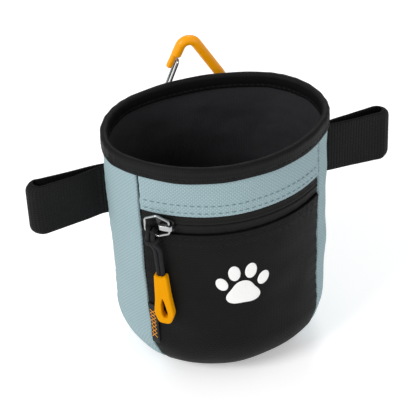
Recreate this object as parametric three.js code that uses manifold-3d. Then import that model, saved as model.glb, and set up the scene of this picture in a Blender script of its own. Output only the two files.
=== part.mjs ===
// A soft treat pouch: an oval bucket of sewn fabric with a bound rim, a zipped front pocket,
// two webbing loops and a snap hook on a tab behind. Millimetres, +Z up, front towards -Y.
// The origin is the middle of the base, on the surface that the pouch stands on.

import * as THREE from 'three';
import { mergeVertices } from 'three/addons/utils/BufferGeometryUtils.js';
import Module from 'manifold-3d';

const wasm = await Module();
wasm.setup();

// ---- driving dimensions -------------------------------------------------------------------

const HEIGHT = 143;                 // floor to the top of the binding
const HALF_WIDTH = 60;              // of the oval at the rim
const FRONT_DEPTH = 43;             // centre to the front at the rim
const FRONT_RADIUS = 69;
const BACK_DEPTH = 41.6;
const BACK_RADIUS = 97;
const BASE_WIDTH_RATIO = 0.97;      // the oval at the floor against the rim
const BASE_FRONT_RATIO = 1.12;
const BASE_BACK_RATIO = 1.2;
const BOTTOM_RISE = 29;             // height of the rounded bottom edge
const BOTTOM_PULL = 0.52;           // how far that edge draws the oval in, as a share of it

const GAP = 0.3;                    // between neighbouring pieces
const FABRIC = 1.0;
const LINING = 0.8;
const LINING_GAP = 0.45;            // the lining hangs a little loose inside the panels
const WALL_TOP = 139.4;             // raw top edge of the panels, inside the binding
const BASE_EDGE = BOTTOM_RISE / 3;  // level where the side walls are sewn to the base
const FRONT_SEAM_TOP = 48.7;        // half the front panel's width
const FRONT_SEAM_BASE = 47.1;
const BACK_SEAM = rad(106);         // the side seams, where the webbing loops are caught

const BINDING_DROP = 8.5;
const BINDING_FOLD = 0.6;
const BINDING_HALF = 2.1;           // half the thickness of the bound edge
const EDGE_MIDDLE = -1.2;           // middle of that edge, measured from the wall's face
const HOOP_RADIUS = 0.9;

const ZIP_HEIGHT = 107.6;
const ZIP_SLOT = 1.2;               // between the two tapes
const ZIP_WINDOW = 11.6;            // height of the window that the tapes fill
const COIL_WIDTH = 1.5;
const POCKET_BACK_DEPTH = 3.6;
const POCKET_BACK_TOP = 118;
const SLIDER_REST = rad(-32.6);

const LOOP_WIDTH = 31;
const LOOP_HEIGHT = 103;            // middle of the loops
const LOOP_THICKNESS = 1.5;
const LOOP_TIP = 102;               // how far the loops reach from the middle

const HOOK_PIVOT_Y = 49.9;          // the snap hook's plane, behind the back wall
const HOOK_PIVOT_Z = 111;
const HOOK_BAR = 2.85;              // radius of its bar
const HOOK_LEAN = rad(-2.3);
const HOOK_TOP_RADIUS = 5;
const HOOK_LOW_RADIUS = 17.8;
const HOOK_LEG = rad(28);           // slope of each leg off the axis
const HOOK_SHIFT = 0.9;             // the hook sits a little off the middle

function rad(degrees) {
  return degrees * Math.PI / 180;
}

// ---- solids -------------------------------------------------------------------------------

const pouch = new THREE.Group();

function finish(colour, roughness, metalness = 0) {
  return new THREE.MeshStandardMaterial({ color: colour, roughness, metalness });
}

const FINISH = {
  blueFabric: finish(0x9db4b8, 0.9),
  blackFabric: finish(0x1c1c1d, 0.9),
  blackWebbing: finish(0x161616, 0.85),
  blackEnamel: finish(0x101010, 0.4),
  nickel: finish(0xc8c8c6, 0.25, 1),
  orangeEnamel: finish(0xffa60f, 0.35, 0.3),
  orangeRubber: finish(0xffac12, 0.55),
  whitePrint: finish(0xf4f4f2, 0.6),
};

function merged(geometry) {
  geometry.deleteAttribute('normal');
  geometry.deleteAttribute('uv');
  const whole = mergeVertices(geometry);
  const index = Array.from(whole.index.array);
  const kept = [];
  for (let i = 0; i < index.length; i += 3) {
    const [a, b, c] = index.slice(i, i + 3);
    if (a !== b && b !== c && c !== a) kept.push(a, b, c);
  }
  whole.setIndex(kept);
  return whole;
}

function signedVolume(geometry) {
  const [a, b, c] = [new THREE.Vector3(), new THREE.Vector3(), new THREE.Vector3()];
  const spots = geometry.attributes.position;
  const index = geometry.index.array;
  let volume = 0;
  for (let i = 0; i < index.length; i += 3) {
    a.fromBufferAttribute(spots, index[i]);
    b.fromBufferAttribute(spots, index[i + 1]);
    c.fromBufferAttribute(spots, index[i + 2]);
    volume += a.dot(b.cross(c)) / 6;
  }
  return volume;
}

// One closed body with its faces pointing out.
function closed(geometry) {
  const whole = merged(geometry);
  if (signedVolume(whole) < 0) {
    const index = Array.from(whole.index.array);
    for (let i = 0; i < index.length; i += 3) {
      [index[i], index[i + 1]] = [index[i + 1], index[i]];
    }
    whole.setIndex(index);
  }
  return whole;
}

function toManifold(geometry) {
  const whole = closed(geometry);
  return new wasm.Manifold(new wasm.Mesh({
    numProp: 3,
    vertProperties: new Float32Array(whole.attributes.position.array),
    triVerts: new Uint32Array(whole.index.array),
  }));
}

function fromManifold(solid) {
  const mesh = solid.getMesh();
  const geometry = new THREE.BufferGeometry();
  geometry.setAttribute('position', new THREE.BufferAttribute(mesh.vertProperties, 3));
  geometry.setIndex(new THREE.BufferAttribute(mesh.triVerts, 1));
  return geometry;
}

function joined(...geometries) {
  return fromManifold(geometries.map(toManifold).reduce((sum, next) => sum.add(next)));
}

function piece(name, geometry, material, parent = pouch) {
  const flat = geometry.index ? geometry.toNonIndexed() : geometry;
  const whole = closed(flat);
  whole.computeVertexNormals();
  const mesh = new THREE.Mesh(whole, material);
  mesh.name = name;
  parent.add(mesh);
  return mesh;
}

// Moves every point of a geometry by a rule.
function bent(geometry, rule) {
  const spots = geometry.attributes.position;
  for (let i = 0; i < spots.count; i += 1) {
    const moved = rule(spots.getX(i), spots.getY(i), spots.getZ(i));
    spots.setXYZ(i, moved.x, moved.y, moved.z);
  }
  return geometry;
}

// ---- the oval bucket ----------------------------------------------------------------------
// A place on the wall is named by its facing, the angle of the outward normal from the front
// towards +X, and its level: the height on the straight wall and round the bottom edge, and
// from 0 to -1 across the flat base. Out is the distance outside the wall's face.

function ovalAt(height) {
  const down = 1 - height / HEIGHT;
  const wide = 1 + (BASE_WIDTH_RATIO - 1) * down;
  const front = 1 + (BASE_FRONT_RATIO - 1) * down;
  const back = 1 + (BASE_BACK_RATIO - 1) * down;
  return {
    half: HALF_WIDTH * wide,
    front: halfOval(HALF_WIDTH * wide, FRONT_DEPTH * front, FRONT_RADIUS * wide),
    back: halfOval(HALF_WIDTH * wide, BACK_DEPTH * back, BACK_RADIUS * wide),
  };
}

// Half an oval: one large arc, and a smaller arc that meets the side squarely.
function halfOval(half, depth, radius) {
  const corner = (half * half - 2 * radius * depth + depth * depth) / (2 * half - 2 * radius);
  const centre = half - corner;
  return { radius, depth, corner, centre, turn: Math.atan2(centre, radius - depth) };
}

function ovalPoint(height, facing) {
  const oval = ovalAt(height);
  const side = Math.sin(facing) < 0 ? -1 : 1;
  const isFront = Math.cos(facing) >= 0;
  const { radius, depth, corner, centre, turn } = isFront ? oval.front : oval.back;
  const across = Math.abs(Math.sin(facing));
  const along = Math.abs(Math.cos(facing));
  const fromAxis = Math.atan2(across, along);
  const x = fromAxis < turn ? radius * across : centre + corner * across;
  const y = fromAxis < turn ? radius * along - (radius - depth) : corner * along;
  return { x: side * x, y: isFront ? -y : y };
}

function wall(facing, level, out = 0) {
  const turn = THREE.MathUtils.clamp(1 - level / BOTTOM_RISE, 0, 1) * Math.PI / 2;
  const height = Math.max(level, BOTTOM_RISE * (1 - Math.sin(turn)));
  const onArc = level < BOTTOM_RISE ? BOTTOM_RISE * (1 - Math.sin(turn)) : height;
  const shrink = (1 - BOTTOM_PULL * (1 - Math.cos(turn))) * (1 + Math.min(level, 0));
  const spot = ovalPoint(onArc, facing);
  const sideways = out * Math.cos(turn);
  return new THREE.Vector3(
    spot.x * shrink + Math.sin(facing) * sideways,
    spot.y * shrink - Math.cos(facing) * sideways,
    onArc - out * Math.sin(turn),
  );
}

function frontSeam(level) {
  const height = Math.max(level, 0);
  const half = THREE.MathUtils.lerp(FRONT_SEAM_BASE, FRONT_SEAM_TOP, height / HEIGHT);
  return Math.asin(half / ovalAt(height).front.radius);
}

function steps(from, to, count) {
  return Array.from({ length: count + 1 }, (_, i) => THREE.MathUtils.lerp(from, to, i / count));
}

const WALL_LEVELS = [...steps(BASE_EDGE + GAP / 2, BOTTOM_RISE, 5), 50, 75, 97, WALL_TOP];

// A sheet of fabric between two facings, which may change with the level.
function sheet(fromFacing, toFacing, columns, levels, outer, inner) {
  const rows = levels.length - 1;
  const box = new THREE.BoxGeometry(1, 1, 1, columns, 1, rows);
  return bent(box, (x, y, z) => {
    const level = levels[Math.round((z + 0.5) * rows)];
    const facing = THREE.MathUtils.lerp(fromFacing(level), toFacing(level), x + 0.5);
    return wall(facing, level, y < 0 ? outer : inner);
  });
}

// A shape that runs all the way round; each station is [level, out], or the axis at level -1.
function allRound(stations, segments, sink = () => 0) {
  const profile = stations.map(([level], i) => new THREE.Vector2(level === -1 ? 0 : 1, i));
  const lathe = new THREE.LatheGeometry(profile, segments);
  const last = stations.length - 1;
  return bent(lathe, (x, y, z) => {
    const [level, out] = stations[Math.min(Math.round(y), last)];
    const facing = level === -1 ? 0 : Math.atan2(x, z);
    return wall(facing, level, out - sink(facing, level));
  });
}

const seamGap = GAP / 2 / FRONT_RADIUS;
const backSeamGap = GAP / 2 / 37;

piece('front_upper_panel',
  sheet((l) => -frontSeam(l) + seamGap, (l) => frontSeam(l) - seamGap, 16,
    [ZIP_HEIGHT + ZIP_WINDOW / 2, 126, WALL_TOP], 0, -FABRIC), FINISH.blueFabric);

const POCKET_LEVELS = [...WALL_LEVELS.filter((l) => l < 90), ZIP_HEIGHT - ZIP_WINDOW / 2];
piece('pocket_panel',
  sheet((l) => -frontSeam(l) + seamGap, (l) => frontSeam(l) - seamGap, 16,
    POCKET_LEVELS, 0, -FABRIC), FINISH.blackFabric);

const POCKET_BACK_LEVELS = [16, 20, 25, BOTTOM_RISE, 50, 75, 97, POCKET_BACK_TOP];
piece('pocket_backing',
  sheet((l) => -frontSeam(l) + rad(3), (l) => frontSeam(l) - rad(3), 16,
    POCKET_BACK_LEVELS, -POCKET_BACK_DEPTH, -POCKET_BACK_DEPTH - 0.7), FINISH.blackFabric);

for (const [name, side] of [['left_side_panel', -1], ['right_side_panel', 1]]) {
  const near = (l) => side * (frontSeam(l) + seamGap);
  const far = () => side * (BACK_SEAM - backSeamGap);
  piece(name, sheet(side < 0 ? far : near, side < 0 ? near : far, 12, WALL_LEVELS, 0, -FABRIC),
    FINISH.blueFabric);
}

piece('back_panel',
  sheet(() => BACK_SEAM + backSeamGap, () => 2 * Math.PI - BACK_SEAM - backSeamGap, 26,
    WALL_LEVELS, 0, -FABRIC), FINISH.blueFabric);

function basePanel() {
  const levels = steps(0, BASE_EDGE - GAP / 2, 2);
  const under = [[-1, 0], ...levels.map((l) => [l, 0])];
  const upper = under.map(([l]) => [l, -FABRIC]).reverse();
  return allRound([...under, ...upper], 48);
}
piece('base_panel', basePanel(), FINISH.blackFabric);

// The lining is a cup. In front it steps in behind the pocket.
function pocketSink(facing, level) {
  const turn = Math.abs(facing);
  const sideways = 1 - THREE.MathUtils.smoothstep(turn, rad(44), rad(62));
  const upwards = 1 - THREE.MathUtils.smoothstep(level, POCKET_BACK_TOP, WALL_TOP - 6);
  return (POCKET_BACK_DEPTH - 0.3) * sideways * upwards * (level < 8 ? 0 : 1);
}

function lining() {
  const faces = [FABRIC + LINING_GAP, FABRIC + LINING_GAP + LINING];
  const levels = [-1, 0, ...steps(BASE_EDGE, BOTTOM_RISE, 4), 60, 97, POCKET_BACK_TOP, 126,
    WALL_TOP - 6, WALL_TOP];
  const outer = levels.map((l) => [l, -faces[0]]);
  const inner = levels.map((l) => [l, -faces[1]]).reverse();
  return allRound([...outer, ...inner], 72, pocketSink);
}
piece('lining', lining(), FINISH.blackFabric);

// The binding is a ribbon folded over the raw edges, with a sprung hoop in its fold.
function binding() {
  const bow = HEIGHT - BINDING_HALF;
  const low = HEIGHT - BINDING_DROP;
  const arc = (radius, from, to) => steps(from, to, 4).map((t) => [
    bow + radius * Math.sin(t), EDGE_MIDDLE + radius * Math.cos(t),
  ]);
  const inside = BINDING_HALF - BINDING_FOLD;
  const stations = [
    [low, EDGE_MIDDLE + BINDING_HALF], ...arc(BINDING_HALF, 0, Math.PI),
    [low, EDGE_MIDDLE - BINDING_HALF],
    [low, EDGE_MIDDLE - inside], ...arc(inside, Math.PI, 0), [low, EDGE_MIDDLE + inside],
  ];
  return allRound([...stations, stations[0]], 72);
}
piece('rim_binding', binding(), FINISH.blackWebbing);

const hoopRing = steps(0, 2 * Math.PI, 6).map((t) => [
  HEIGHT - BINDING_HALF + HOOP_RADIUS * Math.sin(t), EDGE_MIDDLE + HOOP_RADIUS * Math.cos(t),
]);
piece('rim_hoop', allRound(hoopRing, 72), FINISH.nickel);

// ---- the zip ------------------------------------------------------------------------------

const windowEdge = ZIP_WINDOW / 2 - 0.4;
for (const [name, side] of [['upper', 1], ['lower', -1]]) {
  const band = (near, far) => [near, far].map((h) => ZIP_HEIGHT + side * h).sort((a, b) => a - b);
  const seam = (sign) => (l) => sign * (frontSeam(l) - 2 * seamGap);
  piece(`zip_tape_${name}`,
    sheet(seam(-1), seam(1), 24, band(ZIP_SLOT / 2, windowEdge), -0.3, -0.8),
    FINISH.blackWebbing);
  piece(`zip_coil_${name}`,
    sheet(seam(-1), seam(1), 24, band(ZIP_SLOT / 2 + 0.1, ZIP_SLOT / 2 + COIL_WIDTH), -1.1, -2),
    FINISH.blackWebbing);
}

// The slider's own frame: x along the zip, y into the pouch, z up the wall.
const slider = new THREE.Group();
{
  const spot = wall(SLIDER_REST, ZIP_HEIGHT);
  const up = wall(SLIDER_REST, ZIP_HEIGHT + 1).sub(wall(SLIDER_REST, ZIP_HEIGHT - 1)).normalize();
  const along = new THREE.Vector3(Math.cos(SLIDER_REST), Math.sin(SLIDER_REST), 0);
  const inward = new THREE.Vector3().crossVectors(up, along);
  slider.applyMatrix4(new THREE.Matrix4().makeBasis(along, inward, up).setPosition(spot));
}
pouch.add(slider);

// A flat plate in the slider's frame, from an outline in x and z.
function plate(outline, from, to) {
  const geometry = new THREE.ExtrudeGeometry(outline, { depth: to - from, bevelEnabled: false,
    curveSegments: 4 });
  return bent(geometry, (x, y, z) => new THREE.Vector3(x, from + z, y));
}

// A slider plate: broad where the two rows part, narrow where they leave closed.
function shield(length, broad, narrow) {
  const half = length / 2;
  const outline = new THREE.Shape();
  outline.moveTo(-half, -broad + 1);
  outline.quadraticCurveTo(-half, -broad, -half + 1.5, -broad);
  outline.lineTo(half - 1, -narrow);
  outline.quadraticCurveTo(half, -narrow, half, 0);
  outline.quadraticCurveTo(half, narrow, half - 1, narrow);
  outline.lineTo(-half + 1.5, broad);
  outline.quadraticCurveTo(-half, broad, -half, broad - 1);
  return outline;
}

function sliderBody() {
  const neck = new THREE.BoxGeometry(2.6, 3.4, 0.6).translate(-2.8, 1.2, 0);
  return joined(plate(shield(9.4, 4.2, 3.2), -1.3, 0), plate(shield(9, 3.7, 2.9), 2.4, 3.1), neck);
}
piece('slider_body', sliderBody(), FINISH.blackEnamel, slider);

// The bridge arches along the slider and holds the ring's straight side.
const RING_PIN = { x: 2.7, y: -3.05 };
function bridge() {
  const arch = new THREE.Shape();
  arch.moveTo(-3.2, -1.6);
  arch.lineTo(-2.8, -3.9);
  arch.quadraticCurveTo(-2.6, -4.7, -1.6, -4.7);
  arch.lineTo(3.4, -4.7);
  arch.quadraticCurveTo(4.3, -4.7, 4.5, -3.8);
  arch.lineTo(4.8, -1.6);
  arch.lineTo(3.9, -1.6);
  arch.lineTo(3.7, -3.6);
  arch.quadraticCurveTo(3.6, -3.9, 3.2, -3.9);
  arch.lineTo(-1.5, -3.9);
  arch.quadraticCurveTo(-1.9, -3.9, -2, -3.6);
  arch.lineTo(-2.3, -1.6);
  return new THREE.ExtrudeGeometry(arch, { depth: 3, bevelEnabled: false, curveSegments: 3 })
    .translate(0, 0, -1.5);
}
piece('slider_bridge', bridge(), FINISH.nickel, slider);

// A round bar along an open curve.
function bar(path, radius, sides, count) {
  const section = new THREE.Shape(steps(0, 2 * Math.PI, sides).slice(0, -1)
    .map((t) => new THREE.Vector2(radius * Math.cos(t), radius * Math.sin(t))));
  return new THREE.ExtrudeGeometry(section, { steps: count, extrudePath: path,
    bevelEnabled: false });
}

// The ring is a six-sided wire loop that lies over the slider, in the plane of its pin.
const RING_WIRE = 0.65;
const RING_WIDTH = 13;
const RING_HALF_HEIGHT = 6.4;
const RING_SIDE = 3.7;              // half its straight sides
function ringCorners() {
  const left = RING_PIN.x - RING_WIDTH;
  const middle = RING_PIN.x - RING_WIDTH * 0.5;
  return [
    [RING_PIN.x, -RING_SIDE], [RING_PIN.x, RING_SIDE], [middle, RING_HALF_HEIGHT],
    [left, RING_SIDE], [left, -RING_SIDE], [middle, -RING_HALF_HEIGHT],
  ];
}

// The outline of a polygon with rounded corners, as a Shape in x and z.
function rounded(corners, radius, ShapeType = THREE.Shape) {
  const outline = new ShapeType();
  corners.forEach((corner, i) => {
    const here = new THREE.Vector2(...corner);
    const before = new THREE.Vector2(...corners.at(i - 1)).sub(here).setLength(radius).add(here);
    const after = new THREE.Vector2(...corners[(i + 1) % corners.length]).sub(here)
      .setLength(radius).add(here);
    if (i === 0) outline.moveTo(before.x, before.y);
    else outline.lineTo(before.x, before.y);
    outline.quadraticCurveTo(here.x, here.y, after.x, after.y);
  });
  outline.closePath();
  return outline;
}

// A round wire that follows a closed outline: rings of points about the outline's own points.
function wireLoop(points, radius, sides, toSpace) {
  const count = points.length;
  const torus = new THREE.TorusGeometry(1, 0.5, sides, count);
  const spots = torus.attributes.position;
  for (let j = 0; j <= sides; j += 1) {
    for (let i = 0; i <= count; i += 1) {
      const here = points[i % count];
      const ahead = points[(i + 1) % count];
      const behind = points[(i + count - 1) % count];
      const normal = new THREE.Vector2(ahead.y - behind.y, behind.x - ahead.x).normalize();
      const turn = 2 * Math.PI * (j % sides) / sides;
      const across = radius * Math.cos(turn);
      const spot = toSpace(here.x + normal.x * across, here.y + normal.y * across,
        radius * Math.sin(turn));
      spots.setXYZ(j * (count + 1) + i, spot.x, spot.y, spot.z);
    }
  }
  return torus;
}

const inRingPlane = (x, z, off) => new THREE.Vector3(x, RING_PIN.y + off, z);
const ringOutline = rounded(ringCorners(), 1.4).getPoints(3);
ringOutline.pop();
piece('pull_ring', wireLoop(ringOutline, RING_WIRE, 8, inRingPlane), FINISH.nickel, slider);

// The cord is hitched on the ring's lower left side and ends inside the grip.
const RING_SLOPE = -(RING_HALF_HEIGHT - RING_SIDE) / (RING_WIDTH / 2);
const HITCH = { x: -7.1, z: -5.03 };
const CORD = 1.1;                   // radius
const CORD_APART = 2.6;             // between the two strands
const GRIP_TOP = { x: -3.7, z: -30.5 };
const GRIP_LENGTH = 32.5;
const GRIP_DEPTH = 4.4;
const GRIP_OUT = 1.1;               // clearance from the pocket
function strand(offset) {
  const over = RING_WIRE * 1.1 + GAP + CORD;
  const y = RING_PIN.y;
  const gripMiddle = -GRIP_OUT - GRIP_DEPTH / 2;
  const hitch = HITCH.z + RING_SLOPE * offset;
  const path = new THREE.CatmullRomCurve3([
    new THREE.Vector3(HITCH.x + offset, y + over, hitch - 3.6),
    new THREE.Vector3(HITCH.x + offset, y + over, hitch),
    new THREE.Vector3(HITCH.x + offset, y + over * 0.75, hitch + over * 0.75),
    new THREE.Vector3(HITCH.x + offset, y, hitch + over),
    new THREE.Vector3(HITCH.x + offset, y - over * 0.75, hitch + over * 0.75),
    new THREE.Vector3(HITCH.x + offset, y - over, hitch),
    new THREE.Vector3(HITCH.x + offset * 0.95, y - over + 0.2, hitch - 4),
    new THREE.Vector3(HITCH.x + offset * 0.9 + 2.6, y - 0.6, HITCH.z - 10),
    new THREE.Vector3(GRIP_TOP.x + offset * 0.88 - 0.2, gripMiddle - 0.5, HITCH.z - 17),
    new THREE.Vector3(GRIP_TOP.x + offset * 0.85, gripMiddle, GRIP_TOP.z),
    new THREE.Vector3(GRIP_TOP.x + offset * 0.85, gripMiddle, GRIP_TOP.z - 3),
  ]);
  return bar(path, CORD, 7, 26);
}

function pullCord() {
  const y = RING_PIN.y;
  const bight = new THREE.CatmullRomCurve3([
    new THREE.Vector3(HITCH.x - 2, y + 1, HITCH.z - 3.4),
    new THREE.Vector3(HITCH.x - 2.6, y - 1.2, HITCH.z - 3.8),
    new THREE.Vector3(HITCH.x - 1, y - 3.4, HITCH.z - 4),
    new THREE.Vector3(HITCH.x + 1, y - 3.4, HITCH.z - 4),
    new THREE.Vector3(HITCH.x + 2.6, y - 1.2, HITCH.z - 3.8),
    new THREE.Vector3(HITCH.x + 2, y + 1, HITCH.z - 3.4),
  ]);
  return joined(strand(-CORD_APART / 2), strand(CORD_APART / 2), bar(bight, CORD, 7, 10));
}

// The grip is a moulded loop: a teardrop with an eye low down and a socket for the cord.
function gripOutline(shrink) {
  const outline = shrink ? new THREE.Path() : new THREE.Shape();
  const wide = shrink ? 1.9 : 5.7;
  const top = shrink ? -GRIP_LENGTH * 0.52 : 0;
  const low = -GRIP_LENGTH + (shrink ? 3.9 : 0);
  const half = shrink ? 0.3 : 3.3;
  const belly = low + wide;
  outline.moveTo(-half, top);
  outline.bezierCurveTo(-half, top - 8, -wide, belly + 8, -wide, belly);
  outline.absarc(0, belly, wide, Math.PI, 2 * Math.PI, false);
  outline.bezierCurveTo(wide, belly + 8, half, top - 8, half, top);
  outline.closePath();
  return outline;
}

function pullGrip() {
  const outline = gripOutline(false);
  outline.holes.push(gripOutline(true));
  const body = plateRounded(outline);
  const socket = bar(new THREE.LineCurve3(
    new THREE.Vector3(0, 0, 1), new THREE.Vector3(0, 0, -3.6)), 1, 8, 1);
  const opening = bent(socket, (x, y, z) => new THREE.Vector3(x * 2.75, y * 1.5, z));
  return fromManifold(toManifold(body).subtract(toManifold(opening)));
}

// The grip's slab, with softened edges, in x and z about its own depth.
function plateRounded(outline) {
  const soft = 0.9;
  const geometry = new THREE.ExtrudeGeometry(outline, { depth: GRIP_DEPTH - 2 * soft,
    bevelEnabled: true, bevelThickness: soft, bevelSize: soft, bevelOffset: -soft,
    bevelSegments: 2, curveSegments: 8 });
  return bent(geometry, (x, y, z) => new THREE.Vector3(x, soft + z - GRIP_DEPTH / 2, y));
}

piece('pull_cord', pullCord(), FINISH.blackWebbing, slider);
const grip = piece('pull_grip', pullGrip(), FINISH.orangeRubber, slider);
grip.position.set(GRIP_TOP.x, -GRIP_OUT - GRIP_DEPTH / 2, GRIP_TOP.z);

// ---- webbing ------------------------------------------------------------------------------

// A strap stood on edge: a line of points in plan, thickened to both sides and raised.
function strap(line, thickness, width, low) {
  const side = (sign) => line.map((spot, i) => {
    const ahead = line[Math.min(i + 1, line.length - 1)];
    const behind = line[Math.max(i - 1, 0)];
    const run = new THREE.Vector2(ahead.x - behind.x, ahead.y - behind.y).normalize();
    return new THREE.Vector2(spot.x - run.y * sign * thickness / 2,
      spot.y + run.x * sign * thickness / 2);
  });
  const outline = new THREE.Shape([...side(1), ...side(-1).reverse()]);
  return new THREE.ExtrudeGeometry(outline, { depth: width, bevelEnabled: false })
    .translate(0, 0, low);
}

// One loop: out along the front layer, round the fold and back along the rear layer.
function webbingLoop(side, tipY) {
  const root = wall(BACK_SEAM, LOOP_HEIGHT, GAP + 0.6);
  const half = 4;
  const apart = 0.95;
  const path = new THREE.CatmullRomCurve3([
    [root.x, root.y - apart], [root.x + 4, root.y - apart - 0.1],
    [root.x + 16, THREE.MathUtils.lerp(root.y, tipY, 0.4) - half * 0.7],
    [LOOP_TIP - 9, tipY - half], [LOOP_TIP - 3.2, tipY - half * 0.9],
    [LOOP_TIP - LOOP_THICKNESS / 2, tipY],
    [LOOP_TIP - 3.2, tipY + half * 0.9], [LOOP_TIP - 9, tipY + half],
    [root.x + 16, THREE.MathUtils.lerp(root.y, tipY, 0.4) + half * 0.7],
    [root.x + 4, root.y + apart + 0.1], [root.x, root.y + apart],
  ].map(([x, y]) => new THREE.Vector3(side * x, y, 0)));
  const line = path.getSpacedPoints(44);
  return strap(line, LOOP_THICKNESS, LOOP_WIDTH, LOOP_HEIGHT - LOOP_WIDTH / 2);
}
piece('left_webbing_loop', webbingLoop(-1, 6), FINISH.blackWebbing);
piece('right_webbing_loop', webbingLoop(1, 15), FINISH.blackWebbing);

// ---- the snap hook and its tab ------------------------------------------------------------

// The tab is a short strap folded round the hook's low side and sewn to the back wall.
const TAB_WIDTH = 10;
const TAB_MIDDLE = 0.6;
const TAB_PLAY = 1.95;              // round the hook's bar
const TAB_THICKNESS = 1.4;
const TAB_LOW = 86;
const TAB_NECK = 104;               // where its two layers part to go round the hook
function hookTab() {
  const layer = (z, off) => new THREE.Vector2(
    wall(Math.PI, z, GAP + TAB_THICKNESS / 2 + off).y, z);
  const second = TAB_THICKNESS + GAP;
  const eye = HOOK_BAR + TAB_PLAY + TAB_THICKNESS / 2;
  const round = steps(rad(195), rad(-50), 12).map((t) => new THREE.Vector2(
    HOOK_PIVOT_Y + eye * Math.cos(t), HOOK_PIVOT_Z + eye * Math.sin(t)));
  const line = [
    layer(TAB_LOW, 0), layer(95, 0), layer(TAB_NECK, 0), layer(108, 0.3), ...round,
    layer(106.5, second + 1.4), layer(TAB_NECK, second), layer(95, second),
    layer(TAB_LOW, second),
  ];
  return bent(strap(line, TAB_THICKNESS, TAB_WIDTH, TAB_MIDDLE - TAB_WIDTH / 2),
    (x, y, z) => new THREE.Vector3(z, x, y));
}
piece('carabiner_tab', hookTab(), FINISH.blackWebbing);

// The hook stands in its own frame: x across, z up, with the origin at the bar in the tab.
const hook = new THREE.Group();
hook.position.set(HOOK_SHIFT, HOOK_PIVOT_Y, HOOK_PIVOT_Z);
hook.rotation.set(0, HOOK_LEAN, 0);
pouch.add(hook);

const HOOK_SPAN = (HOOK_LOW_RADIUS - HOOK_TOP_RADIUS) / Math.sin(HOOK_LEG);
const LOW_CENTRE = HOOK_LOW_RADIUS;
const TOP_CENTRE = HOOK_LOW_RADIUS + HOOK_SPAN;

// A point at an angle round one of the two bends; 0 is +x and 90 degrees is up.
function onBend(centre, radius, angle) {
  return new THREE.Vector3(radius * Math.cos(angle), 0, centre + radius * Math.sin(angle));
}

function bendCurve(centre, radius, from, to, count) {
  return steps(from, to, count).map((t) => onBend(centre, radius, t));
}

const GATE_FOOT = rad(192);         // where the gate is hinged, on the low bend
const NOSE_REACH = 6.5;             // the bar's end, down the left leg
const leftLegTop = onBend(TOP_CENTRE, HOOK_TOP_RADIUS, Math.PI - HOOK_LEG);
const leftLegLow = onBend(LOW_CENTRE, HOOK_LOW_RADIUS, Math.PI - HOOK_LEG);
const downLeftLeg = leftLegLow.clone().sub(leftLegTop).normalize();
const offLeftLeg = new THREE.Vector3(-Math.cos(HOOK_LEG), 0, Math.sin(HOOK_LEG));

function hookBody() {
  const noseStart = leftLegTop.clone().addScaledVector(downLeftLeg, NOSE_REACH);
  const points = [
    ...bendCurve(LOW_CENTRE, HOOK_LOW_RADIUS, GATE_FOOT, 2 * Math.PI + HOOK_LEG, 22),
    ...bendCurve(TOP_CENTRE, HOOK_TOP_RADIUS, HOOK_LEG, Math.PI - HOOK_LEG, 8),
    noseStart,
  ];
  const main = bar(new PolyCurve(points), HOOK_BAR, 10, points.length - 1);
  const lipStart = leftLegTop.clone().addScaledVector(downLeftLeg, NOSE_REACH - 2)
    .addScaledVector(offLeftLeg, 1.05);
  const lipEnd = lipStart.clone().addScaledVector(downLeftLeg, 9.5);
  const lip = bar(new THREE.LineCurve3(lipStart, lipEnd), 1.7, 10, 1);
  return joined(main, lip);
}

// A run of straight stretches whose parameter stops at each point in turn.
class PolyCurve extends THREE.Curve {
  constructor(points) {
    super();
    this.points = points;
  }

  getPoint(t) {
    const at = t * (this.points.length - 1);
    const i = Math.min(Math.floor(at), this.points.length - 2);
    return this.points[i].clone().lerp(this.points[i + 1], at - i);
  }

  getPointAt(t) {
    return this.getPoint(t);
  }

  getTangentAt(t) {
    const at = Math.round(t * (this.points.length - 1));
    const ahead = this.points[Math.min(at + 1, this.points.length - 1)];
    const behind = this.points[Math.max(at - 1, 0)];
    return ahead.clone().sub(behind).normalize();
  }
}

// The gate is one bent wire: a narrow loop whose closed end rests inside the nose.
const GATE_WIRE = 0.75;
const GATE_HALF = 2.1;              // half the distance between its two sides
function hookGate() {
  const foot = onBend(LOW_CENTRE, HOOK_LOW_RADIUS, GATE_FOOT).add(new THREE.Vector3(0, 0, 1.4));
  const top = leftLegTop.clone().addScaledVector(downLeftLeg, NOSE_REACH + 1.6)
    .addScaledVector(offLeftLeg, -1.9);
  const along = top.clone().sub(foot);
  const lengthOf = along.length();
  const flat = rounded([[-GATE_HALF, 0], [-GATE_HALF, lengthOf], [GATE_HALF, lengthOf],
    [GATE_HALF, 0]], 1.4).getPoints(3);
  flat.pop();
  const run = along.clone().normalize();
  const across = new THREE.Vector3(0, 1, 0);
  const offPlane = new THREE.Vector3().crossVectors(run, across);
  return wireLoop(flat, GATE_WIRE, 8, (x, z, off) => foot.clone()
    .addScaledVector(across, x).addScaledVector(run, z).addScaledVector(offPlane, off));
}

piece('carabiner_body', hookBody(), FINISH.orangeEnamel, hook);
piece('carabiner_gate', hookGate(), FINISH.nickel, hook);

// ---- trim ---------------------------------------------------------------------------------

const LABEL_WIDTH = rad(5);
piece('side_label',
  sheet((l) => -frontSeam(l) + 4 * seamGap, (l) => -frontSeam(l) + LABEL_WIDTH, 3,
    steps(27, 52, 4), 0.9, GAP), FINISH.blackFabric);

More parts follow.
